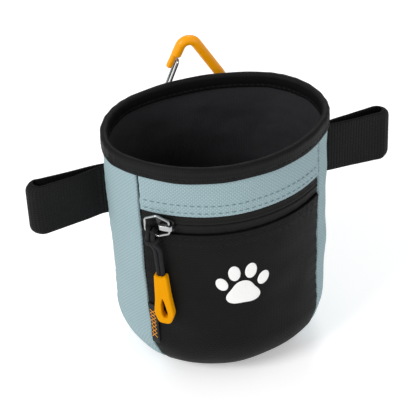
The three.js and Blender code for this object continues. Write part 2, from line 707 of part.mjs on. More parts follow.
// A paw mark printed on the pocket: one broad pad under four toes.
const PRINT_HEIGHT = 67;
function pad(x, z, halfWide, halfHigh, lobes, lean = 0) {
  const profile = [[0, 0], [0.5, 0], [1, 0], [1, 0.3], [0.5, 0.3], [0, 0.3]];
  const disc = new THREE.LatheGeometry(profile.map(([r, h]) => new THREE.Vector2(r, h)), 20);
  return bent(disc, (a, h, b) => {
    const turn = Math.atan2(a, b);
    const swell = 1 + lobes * Math.cos(3 * turn);
    const [u, v] = [a * halfWide * swell, b * halfHigh * swell];
    const across = x + u * Math.cos(lean) - v * Math.sin(lean);
    const level = PRINT_HEIGHT + z + u * Math.sin(lean) + v * Math.cos(lean);
    return wall(across / FRONT_RADIUS, level, GAP + h);
  });
}

piece('print_palm', pad(0, -5.5, 9, 7.4, 0.14), FINISH.whitePrint);
const TOES = [[-11.5, 2, 3.1, 4.4, 24], [-4.6, 8.6, 3.3, 4.9, 7], [4.6, 8.6, 3.3, 4.9, -7],
  [11.5, 2, 3.1, 4.4, -24]];
TOES.forEach(([x, z, halfWide, halfHigh, lean], i) => {
  piece(`print_toe_${i + 1}`, pad(x, z, halfWide, halfHigh, 0, rad(lean)), FINISH.whitePrint);
});

export default pouch;
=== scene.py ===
"""A treat pouch: an oval bucket of woven fabric with a bound rim, a zipped front pocket,
two belt loops of webbing and a snap hook on a tab behind. Sizes are in millimetres and
become metres where a mesh is made. A place on the wall is named by its facing (the angle
of the outward normal from the front towards +X), its level (the height on the straight
wall and round the bottom edge, and 0 to -1 across the flat base) and how far out it is."""

import math

import bpy
import numpy as np
from mathutils import Matrix, Vector, noise


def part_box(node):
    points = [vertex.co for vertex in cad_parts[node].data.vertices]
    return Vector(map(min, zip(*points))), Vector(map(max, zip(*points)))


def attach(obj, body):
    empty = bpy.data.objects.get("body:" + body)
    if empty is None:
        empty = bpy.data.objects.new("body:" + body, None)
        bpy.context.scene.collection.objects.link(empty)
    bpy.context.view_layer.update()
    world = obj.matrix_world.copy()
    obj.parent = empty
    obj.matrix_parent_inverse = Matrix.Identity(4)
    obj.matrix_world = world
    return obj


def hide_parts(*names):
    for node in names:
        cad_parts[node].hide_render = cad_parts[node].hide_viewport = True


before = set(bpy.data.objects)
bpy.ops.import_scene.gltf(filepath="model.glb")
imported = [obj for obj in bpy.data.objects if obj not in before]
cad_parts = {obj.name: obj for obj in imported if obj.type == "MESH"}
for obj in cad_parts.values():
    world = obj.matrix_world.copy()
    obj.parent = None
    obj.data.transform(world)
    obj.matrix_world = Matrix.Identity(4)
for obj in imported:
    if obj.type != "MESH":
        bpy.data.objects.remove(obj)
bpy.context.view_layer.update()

MM = 0.001


def box_mm(node):
    """A CAD node's lowest and highest corners in millimetres."""
    return [np.array(corner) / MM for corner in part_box(node)]


# ---- driving sizes ------------------------------------------------------------------------

BINDING_OUT = 0.9                      # the rim binding stands this far off the wall
rim_low, rim_high = box_mm("rim_binding")
HEIGHT = rim_high[2]
HALF_WIDTH = rim_high[0] - BINDING_OUT
FRONT_DEPTH = -rim_low[1] - BINDING_OUT
BACK_DEPTH = rim_high[1] - BINDING_OUT
FRONT_RADIUS = 69.0
BACK_RADIUS = 97.0
BASE_WIDTH_RATIO = 0.97
BASE_FRONT_RATIO = 1.12
BASE_BACK_RATIO = 1.2
BOTTOM_RISE = 29.0
BOTTOM_PULL = 0.52

FABRIC = 1.0
WALL_TOP = 139.4
BASE_EDGE = BOTTOM_RISE / 3
FRONT_SEAM_TOP = 48.7
FRONT_SEAM_BASE = 47.1
BACK_SEAM = math.radians(106)
SEAM_ROLL = 1.0                        # radius at which a panel's edge turns into its seam
SEAM_INSET = 0.35                      # from the seam's line to the fabric on each side
BINDING_DROP = 8.5

ZIP_HEIGHT = 107.6
ZIP_HALF = 5.8                         # half the window between the two folded edges
HEM = 7.0                              # width of the folded edges above and below the zip
HEM_RISE = 0.45
SLIDER_REST = math.radians(-32.6)

STITCH_PITCH = 3.5

# ---- the oval wall ------------------------------------------------------------------------


def oval_point(height, facing):
    """The wall's plan at one height, as two arcs in front and two behind."""
    down = 1 - height / HEIGHT
    wide = 1 + (BASE_WIDTH_RATIO - 1) * down
    in_front = np.cos(facing) >= 0
    front_depth = FRONT_DEPTH * (1 + (BASE_FRONT_RATIO - 1) * down)
    back_depth = BACK_DEPTH * (1 + (BASE_BACK_RATIO - 1) * down)
    half = HALF_WIDTH * wide
    depth = np.where(in_front, front_depth, back_depth)
    radius = np.where(in_front, FRONT_RADIUS, BACK_RADIUS) * wide
    corner = (half * half - 2 * radius * depth + depth * depth) / (2 * half - 2 * radius)
    centre = half - corner
    turn = np.arctan2(centre, radius - depth)
    across, along = np.abs(np.sin(facing)), np.abs(np.cos(facing))
    on_large = np.arctan2(across, along) < turn
    x = np.where(on_large, radius * across, centre + corner * across)
    y = np.where(on_large, radius * along - (radius - depth), corner * along)
    return np.where(np.sin(facing) < 0, -x, x), np.where(in_front, -y, y)


def wall(facing, level, out=0.0):
    """Points on the pouch's wall, out millimetres off its face."""
    facing, level, out = np.broadcast_arrays(*map(np.asarray, (facing, level, out)))
    turn = np.clip(1 - level / BOTTOM_RISE, 0, 1) * math.pi / 2
    height = np.where(level < BOTTOM_RISE, BOTTOM_RISE * (1 - np.sin(turn)), level)
    shrink = (1 - BOTTOM_PULL * (1 - np.cos(turn))) * (1 + np.minimum(level, 0))
    x, y = oval_point(height, facing)
    aside = out * np.cos(turn)
    return np.stack([x * shrink + np.sin(facing) * aside,
                     y * shrink - np.cos(facing) * aside,
                     height - out * np.sin(turn)], axis=-1)


def front_seam(level):
    """The facing at which the front panels meet the side panels."""
    height = np.maximum(level, 0)
    share = height / HEIGHT
    half = FRONT_SEAM_BASE + (FRONT_SEAM_TOP - FRONT_SEAM_BASE) * share
    return np.arcsin(half / (FRONT_RADIUS * (1 + (BASE_WIDTH_RATIO - 1) * (1 - share))))


def along_row(points):
    """Distance along a row of points from its first one."""
    runs = np.linalg.norm(np.diff(points, axis=0), axis=1)
    return np.concatenate([[0], np.cumsum(runs)])


def even_facings(start, end, step, level=75.0):
    """Facings from start to end that lie about step apart along the wall."""
    dense = np.linspace(start, end, 400)
    length = along_row(wall(dense, level))
    count = max(2, int(round(length[-1] / step)))
    return np.interp(np.linspace(0, length[-1], count + 1), length, dense)


def rumple(points, size, seed):
    """Soft noise from -1 to 1 with lumps of a given size."""
    shift = Vector((seed * 13.7, seed * 5.1, seed * 9.3))
    flat = points.reshape(-1, 3) / size
    values = [noise.noise(Vector(p) + shift) for p in flat]
    return np.array(values).reshape(points.shape[:-1]) * 1.6


# ---- meshes -------------------------------------------------------------------------------


def signed_volume(points, faces):
    """Six times the volume inside some faces, negative where they face inwards."""
    total = 0.0
    for face in faces:
        first = points[face[0]]
        for a, b in zip(face[1:-1], face[2:]):
            total += float(np.dot(first, np.cross(points[a], points[b])))
    return total


def mesh_piece(name, points, faces, finish, slot, uv, body="pouch", replaces=()):
    """A finished piece from points in millimetres. uv is a table of millimetres on the cloth
    and, for each face, the rows of that table at its corners."""
    points = np.asarray(points, float)
    table, corners = uv
    if signed_volume(points, faces) < 0:
        faces = [tuple(face)[::-1] for face in faces]
        corners = [tuple(face)[::-1] for face in corners]
    mesh = bpy.data.meshes.new(name)
    mesh.from_pydata((points * MM).tolist(), [], faces)
    layer = mesh.uv_layers.new(name="cloth")
    layer.data.foreach_set("uv", table[[i for face in corners for i in face]].ravel())
    mesh.polygons.foreach_set("use_smooth", [True] * len(mesh.polygons))
    mesh.materials.append(finish)
    mesh.update()
    piece = bpy.data.objects.new(name, mesh)
    bpy.context.scene.collection.objects.link(piece)
    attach(piece, body)
    if replaces:
        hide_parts(*replaces)
    return piece


def quads(rows, columns, wrap_rows=False, wrap_columns=False):
    """Faces of a grid of points, and the same faces on a grid that doesn't wrap."""
    faces, flat = [], []
    wide = columns + wrap_columns
    for row in range(rows if wrap_rows else rows - 1):
        up = (row + 1) % rows
        for column in range(columns if wrap_columns else columns - 1):
            on = (column + 1) % columns
            faces.append((row * columns + column, row * columns + on, up * columns + on,
                          up * columns + column))
            flat.append((row * wide + column, row * wide + column + 1,
                         (row + 1) * wide + column + 1, (row + 1) * wide + column))
    return faces, flat


def shell(name, outer, inner, uv, finish, slot, wrap=False, capped=False, **more):
    """A closed thin shell between two grids. uv has one more column where the grid wraps,
    and the first row is closed by a flat face on each side where it is capped."""
    rows, columns = outer.shape[:2]
    wide = columns + wrap
    total = rows * columns
    face_grid, flat_grid = quads(rows, columns, False, wrap)
    faces = face_grid + [tuple(total + i for i in face[::-1]) for face in face_grid]
    flat = flat_grid + [face[::-1] for face in flat_grid]
    last = (rows - 1) * columns
    for column in range(columns if wrap else columns - 1):
        on = (column + 1) % columns
        top = (rows - 1) * wide + column
        if not capped:
            faces.append((column, total + column, total + on, on))
            flat.append((column, column, column + 1, column + 1))
        faces.append((last + on, total + last + on, total + last + column, last + column))
        flat.append((top + 1, top + 1, top, top))
    if capped:
        ring = tuple(range(columns))
        faces += [ring[::-1], tuple(total + i for i in ring)]
        flat += [ring[::-1], ring]
    if not wrap:
        for row in range(rows - 1):
            a, b = row * columns, (row + 1) * columns
            faces.append((a, b, total + b, total + a))
            flat.append((a, b, b, a))
            c, d = a + columns - 1, b + columns - 1
            faces.append((d, c, total + c, total + d))
            flat.append((d, c, c, d))
    points = np.concatenate([outer.reshape(-1, 3), inner.reshape(-1, 3)])
    return mesh_piece(name, points, faces, finish, slot, (uv.reshape(-1, 2), flat), **more)


def swept(name, rings, finish, slot, closed=False, **more):
    """A closed body through rings of points; its cloth map runs along it in x."""
    count, sides = rings.shape[:2]
    faces, flat = quads(count, sides, closed, True)
    middle = rings.mean(axis=1)
    if closed:
        middle = np.concatenate([middle, middle[:1]])
    along = along_row(middle)
    around = along_row(np.concatenate([rings[0], rings[0][:1]]))
    table = np.stack(np.meshgrid(along, around, indexing="ij"), axis=-1).reshape(-1, 2)
    if not closed:
        ring = tuple(range(sides))
        faces += [ring[::-1], tuple((count - 1) * sides + i for i in ring)]
        flat += [ring[::-1], tuple((count - 1) * (sides + 1) + i for i in ring)]
    return mesh_piece(name, rings.reshape(-1, 3), faces, finish, slot, (table, flat), **more)


def unit(vectors):
    """Vectors of length one."""
    return vectors / np.linalg.norm(vectors, axis=-1, keepdims=True)


def resample(points, wanted):
    """Places at given distances along a row of points."""
    length = along_row(points)
    return np.stack([np.interp(wanted, length, axis) for axis in points.T], axis=1)


def curve_through(knots, step):
    """A smooth curve through some points, in even steps."""
    knots = np.asarray(knots, float)
    padded = np.concatenate([2 * knots[:1] - knots[1:2], knots, 2 * knots[-1:] - knots[-2:-1]])
    t = np.linspace(0, 1, 24, endpoint=False)[:, None]
    parts = [0.5 * (2 * b + (c - a) * t + (2 * a - 5 * b + 4 * c - d) * t ** 2
                    + (3 * b - a - 3 * c + d) * t ** 3)
             for a, b, c, d in zip(padded, padded[1:], padded[2:], padded[3:])]
    dense = np.concatenate(parts + [padded[-2:-1]])
    whole = along_row(dense)[-1]
    return resample(dense, np.linspace(0, whole, max(3, int(round(whole / step))) + 1))


def path_frames(path, closed=False, side=None):
    """Two directions square to a path at each of its points, which don't twist."""
    if closed:
        run = unit(np.roll(path, -1, axis=0) - np.roll(path, 1, axis=0))
    else:
        run = unit(np.gradient(path, axis=0))
    if side is None:
        side = np.cross(run[0], np.eye(3)[np.argmin(np.abs(run[0]))])
    sides = []
    for ahead in run:
        side = side - ahead * np.dot(side, ahead)
        side = side / np.linalg.norm(side)
        sides.append(side)
    sides = np.array(sides)
    return sides, np.cross(run, sides)


def tube(name, path, radius, finish, slot, sides=16, closed=False, side=None, **more):
    """A round bar along a path; radius may change from point to point."""
    one, two = path_frames(path, closed, side)
    turn = np.linspace(0, 2 * math.pi, sides, endpoint=False)
    radius = np.broadcast_to(radius, len(path))[:, None, None]
    rings = path[:, None] + radius * (np.cos(turn)[:, None] * one[:, None]
                                      + np.sin(turn)[:, None] * two[:, None])
    return swept(name, rings, finish, slot, closed, **more)


def strap_section(width, thickness, count=24):
    """A strap's rounded cross-section as (across, off) pairs."""
    turn = np.linspace(0, math.pi, 7)
    half, soft = width / 2 - thickness / 2, thickness / 2
    flat = np.linspace(-half, half, count)
    right = np.stack([half + soft * np.sin(turn), soft * np.cos(turn)], axis=1)
    low = np.stack([flat[::-1], np.full(count, -soft)], axis=1)[1:-1]
    left = np.stack([-half - soft * np.sin(turn), -soft * np.cos(turn)], axis=1)
    high = np.stack([flat, np.full(count, soft)], axis=1)[1:-1]
    return np.concatenate([right, low, left, high])


def strap_rings(path, section, across):
    """A strap's section put at every point of its path."""
    off = unit(np.cross(unit(np.gradient(path, axis=0)), across))
    return (path[:, None] + section[None, :, :1] * np.asarray(across, float)
            + section[None, :, 1:] * off[:, None])


def strap(name, path, across, width, thickness, finish, slot, shape=None, **more):
    """A flat strap along a path; across is the direction of its width."""
    rings = strap_rings(path, strap_section(width, thickness), across)
    if shape is not None:
        rings = shape(rings)
    return swept(name, rings, finish, slot, **more)


def rolled(distance, radius=SEAM_ROLL):
    """How far an edge has turned inwards, this far from the edge."""
    left = 1 - np.clip(distance / radius, 0, 1)
    return -radius * (1 - np.sqrt(1 - left * left))


def pucker(along, away, seed, depth=0.22, pitch=6.5, reach=4.0):
    """Little waves that a seam's thread draws in the fabric beside it."""
    sway = np.sin(along * 0.13 + seed) * 1.4 + np.sin(along * 0.041 + 2 * seed) * 2
    return depth * np.exp(-away / reach) * np.sin(2 * math.pi * along / pitch + sway)


def groove(distance, depth=0.28, width=0.7):
    """The dent that a row of stitches pulls in the fabric."""
    return -depth * np.exp(-(distance / width) ** 2)


# ---- materials ----------------------------------------------------------------------------


class Nodes:
    """Short ways to add nodes to a tree. A value is a constant or another node's output."""

    def __init__(self, tree):
        self.tree = tree

    def put(self, socket, value):
        """Links an output to a socket, or sets the socket's own value."""
        if hasattr(value, "is_output"):
            self.tree.links.new(value, socket)
        else:
            socket.default_value = value

    def add(self, kind, inputs=(), **settings):
        """A node with some settings, and with values on its inputs by name or number."""
        node = self.tree.nodes.new(kind)
        for key, value in settings.items():
            setattr(node, key, value)
        for socket, value in dict(inputs).items():
            self.put(node.inputs[socket], value)
        return node

    def math(self, operation, a, b=0.0):
        """The result of one operation on one or two values."""
        return self.add("ShaderNodeMath", {0: a, 1: b}, operation=operation).outputs[0]

    def wave(self, place, pitch):
        """A sine that crosses zero once in every pitch."""
        turns = self.math("DIVIDE", place, pitch)
        return self.math("SINE", self.math("MULTIPLY", turns, math.pi))

    def mix(self, factor, a, b):
        """A colour between two colours."""
        return self.add("ShaderNodeMix", {0: factor, 6: a, 7: b}, data_type="RGBA").outputs[2]

    def ranged(self, value, low, high, to_low, to_high):
        """A value moved from one range into another."""
        ends = dict(enumerate((value, low, high, to_low, to_high)))
        return self.add("ShaderNodeMapRange", ends).outputs[0]

    def noise(self, place, scale, detail=3.0, roughness=0.5):
        """Cloudy noise from 0 to 1."""
        inputs = {"Vector": place, "Scale": scale, "Detail": detail, "Roughness": roughness}
        return self.add("ShaderNodeTexNoise", inputs).outputs[0]

    def group(self, tree, **inputs):
        """The outputs of a shared group."""
        return self.add("ShaderNodeGroup", inputs, node_tree=tree).outputs


def shader_group(name, inputs, outputs):
    """An empty shader group with its sockets, and its inputs' output sockets by name."""
    tree = bpy.data.node_groups.new(name, "ShaderNodeTree")
    for label, kind, value in inputs:
        socket = tree.interface.new_socket(label, in_out="INPUT", socket_type=kind)
        if value is not None:
            socket.default_value = value
    for label, kind in outputs:
        tree.interface.new_socket(label, in_out="OUTPUT", socket_type=kind)
    nodes = Nodes(tree)
    entry = nodes.add("NodeGroupInput")
    leave = nodes.add("NodeGroupOutput")
    return tree, nodes, entry.outputs, leave.inputs


FLOAT, VECTOR = "NodeSocketFloat", "NodeSocketVector"


def weave_group():
    """Plain weave from a flat map: a height from 0 to 1 and a shade that parts the threads."""
    tree, nodes, given, made = shader_group(
        "weave", [("Map", VECTOR, None), ("Pitch", FLOAT, 1.0), ("Slack", FLOAT, 0.15)],
        [("Height", FLOAT), ("Thread", FLOAT)])
    stray = nodes.add("ShaderNodeTexNoise", {"Vector": given["Map"], "Scale": 0.35})
    scaled = nodes.add("ShaderNodeVectorMath", {0: stray.outputs["Color"],
                                                "Scale": given["Slack"]}, operation="SCALE")
    moved = nodes.add("ShaderNodeVectorMath", {0: given["Map"], 1: scaled.outputs[0]},
                      operation="ADD")
    parts = nodes.add("ShaderNodeSeparateXYZ", {0: moved.outputs[0]}).outputs
    product = nodes.math("MULTIPLY", nodes.wave(parts[0], given["Pitch"]),
                         nodes.wave(parts[1], given["Pitch"]))
    nodes.put(made["Height"], nodes.math("POWER", nodes.math("ABSOLUTE", product), 0.45))
    nodes.put(made["Thread"], nodes.ranged(product, -0.5, 0.5, 0.0, 1.0))
    return tree


def rib_group():
    """Ribs across a strap: a height from 0 to 1 with a fine cross grain."""
    tree, nodes, given, made = shader_group(
        "ribs", [("Along", FLOAT, 0.0), ("Across", FLOAT, 0.0), ("Pitch", FLOAT, 1.3),
                 ("Fine", FLOAT, 0.6)], [("Height", FLOAT)])
    wave = nodes.math("ABSOLUTE", nodes.wave(given["Along"], given["Pitch"]))
    rib = nodes.math("MULTIPLY", nodes.math("POWER", wave, 0.6), 0.75)
    fine = nodes.math("ABSOLUTE", nodes.wave(given["Across"], given["Fine"]))
    nodes.put(made["Height"], nodes.math("ADD", rib, nodes.math("MULTIPLY", fine, 0.35)))
    return tree


def wear_group():
    """Dust and rubbing on the object's own place: a cloudy mask and a fine speck mask."""
    tree, nodes, given, made = shader_group(
        "wear", [("Place", VECTOR, None)], [("Cloud", FLOAT), ("Specks", FLOAT)])
    nodes.put(made["Cloud"], nodes.noise(given["Place"], 28.0, 4.0, 0.6))
    specks = nodes.noise(given["Place"], 900.0, 2.0, 0.5)
    nodes.put(made["Specks"], nodes.ranged(specks, 0.66, 0.74, 0.0, 1.0))
    return tree


WEAVE = weave_group()
RIBS = rib_group()
WEAR = wear_group()


def new_material(name, roughness, metallic=0.0, coat=0.0, specular=0.5):
    """A new material: its node helper, its shader, the object's place and the cloth map."""
    made = bpy.data.materials.new(name)
    made.use_nodes = True
    nodes = Nodes(made.node_tree)
    shader = made.node_tree.nodes["Principled BSDF"]
    shader.inputs["Roughness"].default_value = roughness
    shader.inputs["Metallic"].default_value = metallic
    shader.inputs["Coat Weight"].default_value = coat
    shader.inputs["Specular IOR Level"].default_value = specular
    place = nodes.add("ShaderNodeTexCoord").outputs["Object"]
    cloth_map = nodes.add("ShaderNodeUVMap", uv_map="cloth").outputs[0]
    return made, nodes, shader, place, cloth_map


def bump(nodes, shader, height, depth):
    """Adds a bump of a real depth in millimetres to the shader."""
    node = nodes.add("ShaderNodeBump", {"Distance": depth * MM, "Strength": 1.0,
                                        "Height": height})
    nodes.put(shader.inputs["Normal"], node.outputs[0])


def times(colour, factor, lift=0.0):
    """A colour made darker or lighter."""
    return tuple(min(1, c * factor + lift) for c in colour[:3]) + (1,)


def woven(name, dark, light, pitch, depth, roughness, specular=0.2, cloudy=0.12):
    """Woven cloth: two thread shades, painted shade between them, a dusty cloud over them and a
    bump for the weave.
    """
    made, nodes, shader, place, cloth_map = new_material(name, roughness, specular=specular)
    weave = nodes.group(WEAVE, Map=cloth_map, Pitch=pitch)
    wear = nodes.group(WEAR, Place=place)
    threads = nodes.mix(nodes.ranged(weave["Thread"], 0, 1, 0.3, 0.7), dark, light)
    # painted shade: the low parts of the weave, between the threads, are darkened towards a deep
    # shade of the dark thread
    painted_crevice_shade = nodes.mix(nodes.ranged(weave["Height"], 0.0, 0.6, 0.45, 0.0), threads,
                        times(dark, 0.35))
    dusty = nodes.mix(nodes.math("MULTIPLY", wear["Cloud"], cloudy), painted_crevice_shade,
                      times(light, 1.6, 0.02))
    nodes.put(shader.inputs["Base Color"], dusty)
    nodes.put(shader.inputs["Roughness"],
              nodes.ranged(wear["Cloud"], 0.2, 0.8, roughness - 0.06, roughness + 0.06))
    fuzz = nodes.math("MULTIPLY", nodes.noise(place, 2500.0, 2.0), 0.35)
    bump(nodes, shader, nodes.math("ADD", weave["Height"], fuzz), depth)
    return made


def ribbed(name, dark, light, pitch, fine, depth, roughness):
    """Strap or ribbon with ribs across it and painted shade in the hollows between the ribs; the
    cloth map runs along the strap in x.
    """
    made, nodes, shader, place, cloth_map = new_material(name, roughness, specular=0.12)
    parts = nodes.add("ShaderNodeSeparateXYZ", {0: cloth_map}).outputs
    ribs = nodes.group(RIBS, Along=parts[0], Across=parts[1], Pitch=pitch, Fine=fine)
    wear = nodes.group(WEAR, Place=place)
    # painted shade: the colour runs from the light shade on the rib tops to the dark shade in the
    # hollows between them
    base = nodes.mix(nodes.ranged(ribs["Height"], 0.1, 1.0, 0.0, 1.0), dark, light)
    dusty = nodes.mix(nodes.math("MULTIPLY", wear["Cloud"], 0.2), base, times(light, 1.9))
    nodes.put(shader.inputs["Base Color"], dusty)
    fuzz = nodes.math("MULTIPLY", nodes.noise(place, 3000.0, 2.0), 0.4)
    bump(nodes, shader, nodes.math("ADD", ribs["Height"], fuzz), depth)
    return made


def smooth_finish(name, colour, roughness, metallic=0.0, coat=0.0, grain=1800.0, depth=0.02,
                  smudge=0.08, tint=None, specular=0.4):
    """Enamel, nickel, rubber or ink: a mottled colour, uneven gloss and a faint orange peel."""
    made, nodes, shader, place, _ = new_material(name, roughness, metallic, coat, specular)
    wear = nodes.group(WEAR, Place=place)
    mottled = nodes.mix(nodes.ranged(wear["Cloud"], 0.35, 0.75, 0.0, 0.6), colour,
                        tint or times(colour, 0.8))
    specked = nodes.mix(nodes.math("MULTIPLY", wear["Specks"], 0.25), mottled,
                        times(colour, 0.5))
    nodes.put(shader.inputs["Base Color"], specked)
    nodes.put(shader.inputs["Roughness"], nodes.ranged(
        wear["Cloud"], 0.3, 0.7, roughness - smudge, roughness + smudge))
    bump(nodes, shader, nodes.noise(place, grain, 3.0), depth)
    return made


def shade(red, green, blue):
    """A colour from its 0 to 255 display values."""
    linear = [((c / 255 + 0.055) / 1.055) ** 2.4 if c > 10 else c / 255 / 12.92
              for c in (red, green, blue)]
    return (*linear, 1.0)


BLUE_CLOTH = woven("blue_oxford", shade(120, 142, 147), shade(162, 185, 190), 1.05, 0.13, 0.8)
BLACK_CLOTH = woven("black_oxford", shade(0, 0, 0), shade(24, 24, 24), 1.05, 0.13, 0.6,
                    cloudy=0.04, specular=0.1)
# painted light: the lining's two shades are lighter grey than its black cloth, to stand in for
# light that hardly reaches inside the bag
LINING_CLOTH_PAINTED_LIGHT = woven("coated_lining_painted_light", shade(38, 38, 40), shade(60, 60, 63), 0.8, 0.07, 0.4,
                     cloudy=0.1, specular=0.5)
INNER_CLOTH = woven("pocket_lining", shade(12, 12, 13), shade(20, 20, 21), 0.5, 0.05, 0.75)
TAPE_CLOTH = woven("zip_tape_weave", shade(9, 9, 9), shade(30, 30, 29), 0.9, 0.1, 0.6,
                   cloudy=0.04, specular=0.12)
LABEL_CLOTH = woven("label_satin", shade(14, 14, 15), shade(25, 25, 26), 0.4, 0.05, 0.5)
RIBBON = ribbed("grosgrain", shade(0, 0, 0), shade(20, 20, 21), 1.1, 4.0, 0.14, 0.55)
WEBBING = ribbed("webbing_weave", shade(0, 0, 0), shade(19, 19, 19), 1.6, 1.5, 0.3, 0.6)
BRAID_CORD = ribbed("braided_cord", shade(5, 5, 5), shade(34, 34, 36), 0.95, 0.8, 0.12, 0.6)
BLACK_THREAD = smooth_finish("black_thread", shade(20, 20, 21), 0.55, grain=4000, depth=0.03,
                             specular=0.2)
GREY_THREAD = smooth_finish("grey_thread", shade(104, 126, 133), 0.6, grain=4000, depth=0.03,
                            specular=0.2)
ORANGE_THREAD = smooth_finish("orange_thread", shade(226, 152, 58), 0.55, grain=4000,
                              depth=0.03, specular=0.2)
COIL_PLASTIC = smooth_finish("coil_plastic", shade(16, 16, 17), 0.35)
SLIDER_ENAMEL = smooth_finish("slider_enamel", shade(10, 10, 10), 0.3, coat=0.3)
NICKEL = smooth_finish("nickel_plate", shade(176, 177, 178), 0.26, metallic=1.0, depth=0.008,
                       smudge=0.06)
HOOK_ENAMEL = smooth_finish("orange_enamel", shade(255, 168, 0), 0.35, coat=0.15,
                            tint=shade(255, 160, 0), specular=0.25)
GRIP_RUBBER = smooth_finish("orange_rubber", shade(220, 148, 0), 0.5, grain=1400,
                            tint=shade(214, 138, 0), specular=0.03)
PRINT_INK = smooth_finish("white_ink", shade(240, 240, 238), 0.5, grain=1500, depth=0.03,
                          tint=shade(228, 229, 228))


# ---- stitches -----------------------------------------------------------------------------


def stitch_tree():
    """Puts one stitch on each point of a seam, turned along the thread and off the fabric."""
    tree = bpy.data.node_groups.new("stitches", "GeometryNodeTree")
    for label, way, kind in (("Geometry", "INPUT", "Geometry"), ("Length", "INPUT", "Float"),
                             ("Thickness", "INPUT", "Float"), ("Thread", "INPUT", "Material"),
                             ("Geometry", "OUTPUT", "Geometry")):
        tree.interface.new_socket(label, in_out=way, socket_type="NodeSocket" + kind)
    nodes = Nodes(tree)
    given = nodes.add("NodeGroupInput").outputs
    stitch = nodes.add("GeometryNodeMeshUVSphere", {"Segments": 8, "Rings": 5, "Radius": 0.5})
    size = nodes.add("ShaderNodeCombineXYZ", {0: given["Length"], 1: given["Thickness"],
                                              2: given["Thickness"]})
    run, off = (nodes.add("GeometryNodeInputNamedAttribute", {"Name": label},
                          data_type="FLOAT_VECTOR").outputs[0] for label in ("run", "off"))
    turn = nodes.add("FunctionNodeAlignRotationToVector", {"Vector": run}, axis="X")
    lift = nodes.add("FunctionNodeAlignRotationToVector",
                     {"Rotation": turn.outputs[0], "Vector": off}, axis="Z", pivot_axis="X")
    spread = nodes.add("GeometryNodeInstanceOnPoints", {
        "Points": given["Geometry"], "Instance": stitch.outputs[0],
        "Rotation": lift.outputs[0], "Scale": size.outputs[0]})
    real = nodes.add("GeometryNodeRealizeInstances", {0: spread.outputs[0]})
    smooth = nodes.add("GeometryNodeSetShadeSmooth", {0: real.outputs[0]})
    finish = nodes.add("GeometryNodeSetMaterial", {"Geometry": smooth.outputs[0],
                                                   "Material": given["Thread"]})
    nodes.add("NodeGroupOutput", {0: finish.outputs[0]})
    return tree


STITCHES = stitch_tree()


def socket_id(tree, label):
    """The identifier of a tree's input socket."""
    return next(item.identifier for item in tree.interface.items_tree
                if item.name == label and item.in_out == "INPUT")


def stitches(name, rows, thread, length, thickness):
    """Stitches along rows of points in millimetres; each row gives (points, directions off)."""
    places, offs = map(np.concatenate, zip(*rows))
    runs = np.concatenate([unit(np.gradient(points, axis=0)) for points, _ in rows])
    seeds = bpy.data.meshes.new(name + "_seeds")
    seeds.from_pydata((places * MM).tolist(), [], [])
    for label, values in (("run", runs), ("off", offs)):
        layer = seeds.attributes.new(label, "FLOAT_VECTOR", "POINT")
        layer.data.foreach_set("vector", values.astype(float).ravel())
    holder = bpy.data.objects.new(name, seeds)
    bpy.context.scene.collection.objects.link(holder)
    grown = holder.modifiers.new("stitches", "NODES")
    grown.node_group = STITCHES
    grown[socket_id(STITCHES, "Length")] = length * MM
    grown[socket_id(STITCHES, "Thickness")] = thickness * MM
    grown[socket_id(STITCHES, "Thread")] = thread
    whole = bpy.context.evaluated_depsgraph_get()
    holder.data = bpy.data.meshes.new_from_object(holder.evaluated_get(whole))
    holder.modifiers.clear()
    bpy.data.meshes.remove(seeds)
    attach(holder, "pouch")


# ---- the sewn bucket ----------------------------------------------------------------------

SLACK = 0.85                           # how far the fabric wanders off its tidy shape
WIDEST_PANEL = 104.0
EDGE_CROWDING = 0.48                   # how much closer a panel's columns are at its seams
BASE_COLUMNS = 200
LINING_COLUMNS = 240
LINING_GAP = 0.45
LINING = 0.8
LINING_RADIUS = 40.0                   # turns a facing near the lining's seams into a length
LINING_SEAM = 0.9                      # half width of the lining's seams
LINING_MAP = 52.0                      # radius that the lining's cloth map is wound on
POCKET_BACK_DEPTH = 3.6
POCKET_BACK_TOP = 118.0
POCKET_BACK_LOW = 16.0
POCKET_BACK = 0.6
POCKET_BACK_MARGIN = math.radians(3)


def smooth_step(value, low, high):
    """0 below a range and 1 above it, with a soft slope between."""
    share = np.clip((value - low) / (high - low), 0, 1)
    return share * share * (3 - 2 * share)


def slack(facing, level):
    """How far the fabric sags in or swells out; the rim, the zip and the base hold it."""
    points = wall(facing, level)
    lumps = rumple(points, 34.0, 3) + 0.45 * rumple(points, 15.0, 8)
    folds = np.sin(points[..., 0] * 0.11 + 1.3) * np.sin(points[..., 1] * 0.09)
    in_front = 1 - smooth_step(np.abs(facing), 0.7, 1.0)
    near_zip = np.exp(-((level - ZIP_HEIGHT) / 11) ** 2) * in_front
    held = smooth_step(level, 5, 22) * (1 - smooth_step(level, 112, 136)) * (1 - near_zip)
    return SLACK * held * (lumps + 0.5 * folds)


def cloth(facing, level, out=0.0):
    """A place on the fabric as it hangs."""
    facing, level, out = np.broadcast_arrays(*map(np.asarray, (facing, level, out)))
    return wall(facing, level, out + slack(facing, level))


def panel_grid(start, end, levels, step=1.25):
    """Facings and levels of a panel's grid, and each place's distance from its seams."""
    shares = np.linspace(0, 1, int(round(WIDEST_PANEL / step)) + 1)
    shares = shares - EDGE_CROWDING * np.sin(2 * math.pi * shares) / (2 * math.pi)
    level = np.repeat(levels[:, None], len(shares), axis=1)
    first = start(levels)[:, None] + SEAM_INSET / FRONT_RADIUS
    last = end(levels)[:, None] - SEAM_INSET / FRONT_RADIUS
    facing = first + (last - first) * shares
    points = wall(facing, level)
    runs = np.linalg.norm(np.diff(points, axis=1), axis=2)
    along = np.concatenate([np.zeros((len(levels), 1)), np.cumsum(runs, axis=1)], axis=1)
    return facing, level, along, along[:, -1:] - along


def rows_between(low, high, step=1.4):
    """Levels from low to high, about step apart."""
    return np.linspace(low, high, max(2, int(round((high - low) / step)) + 1))


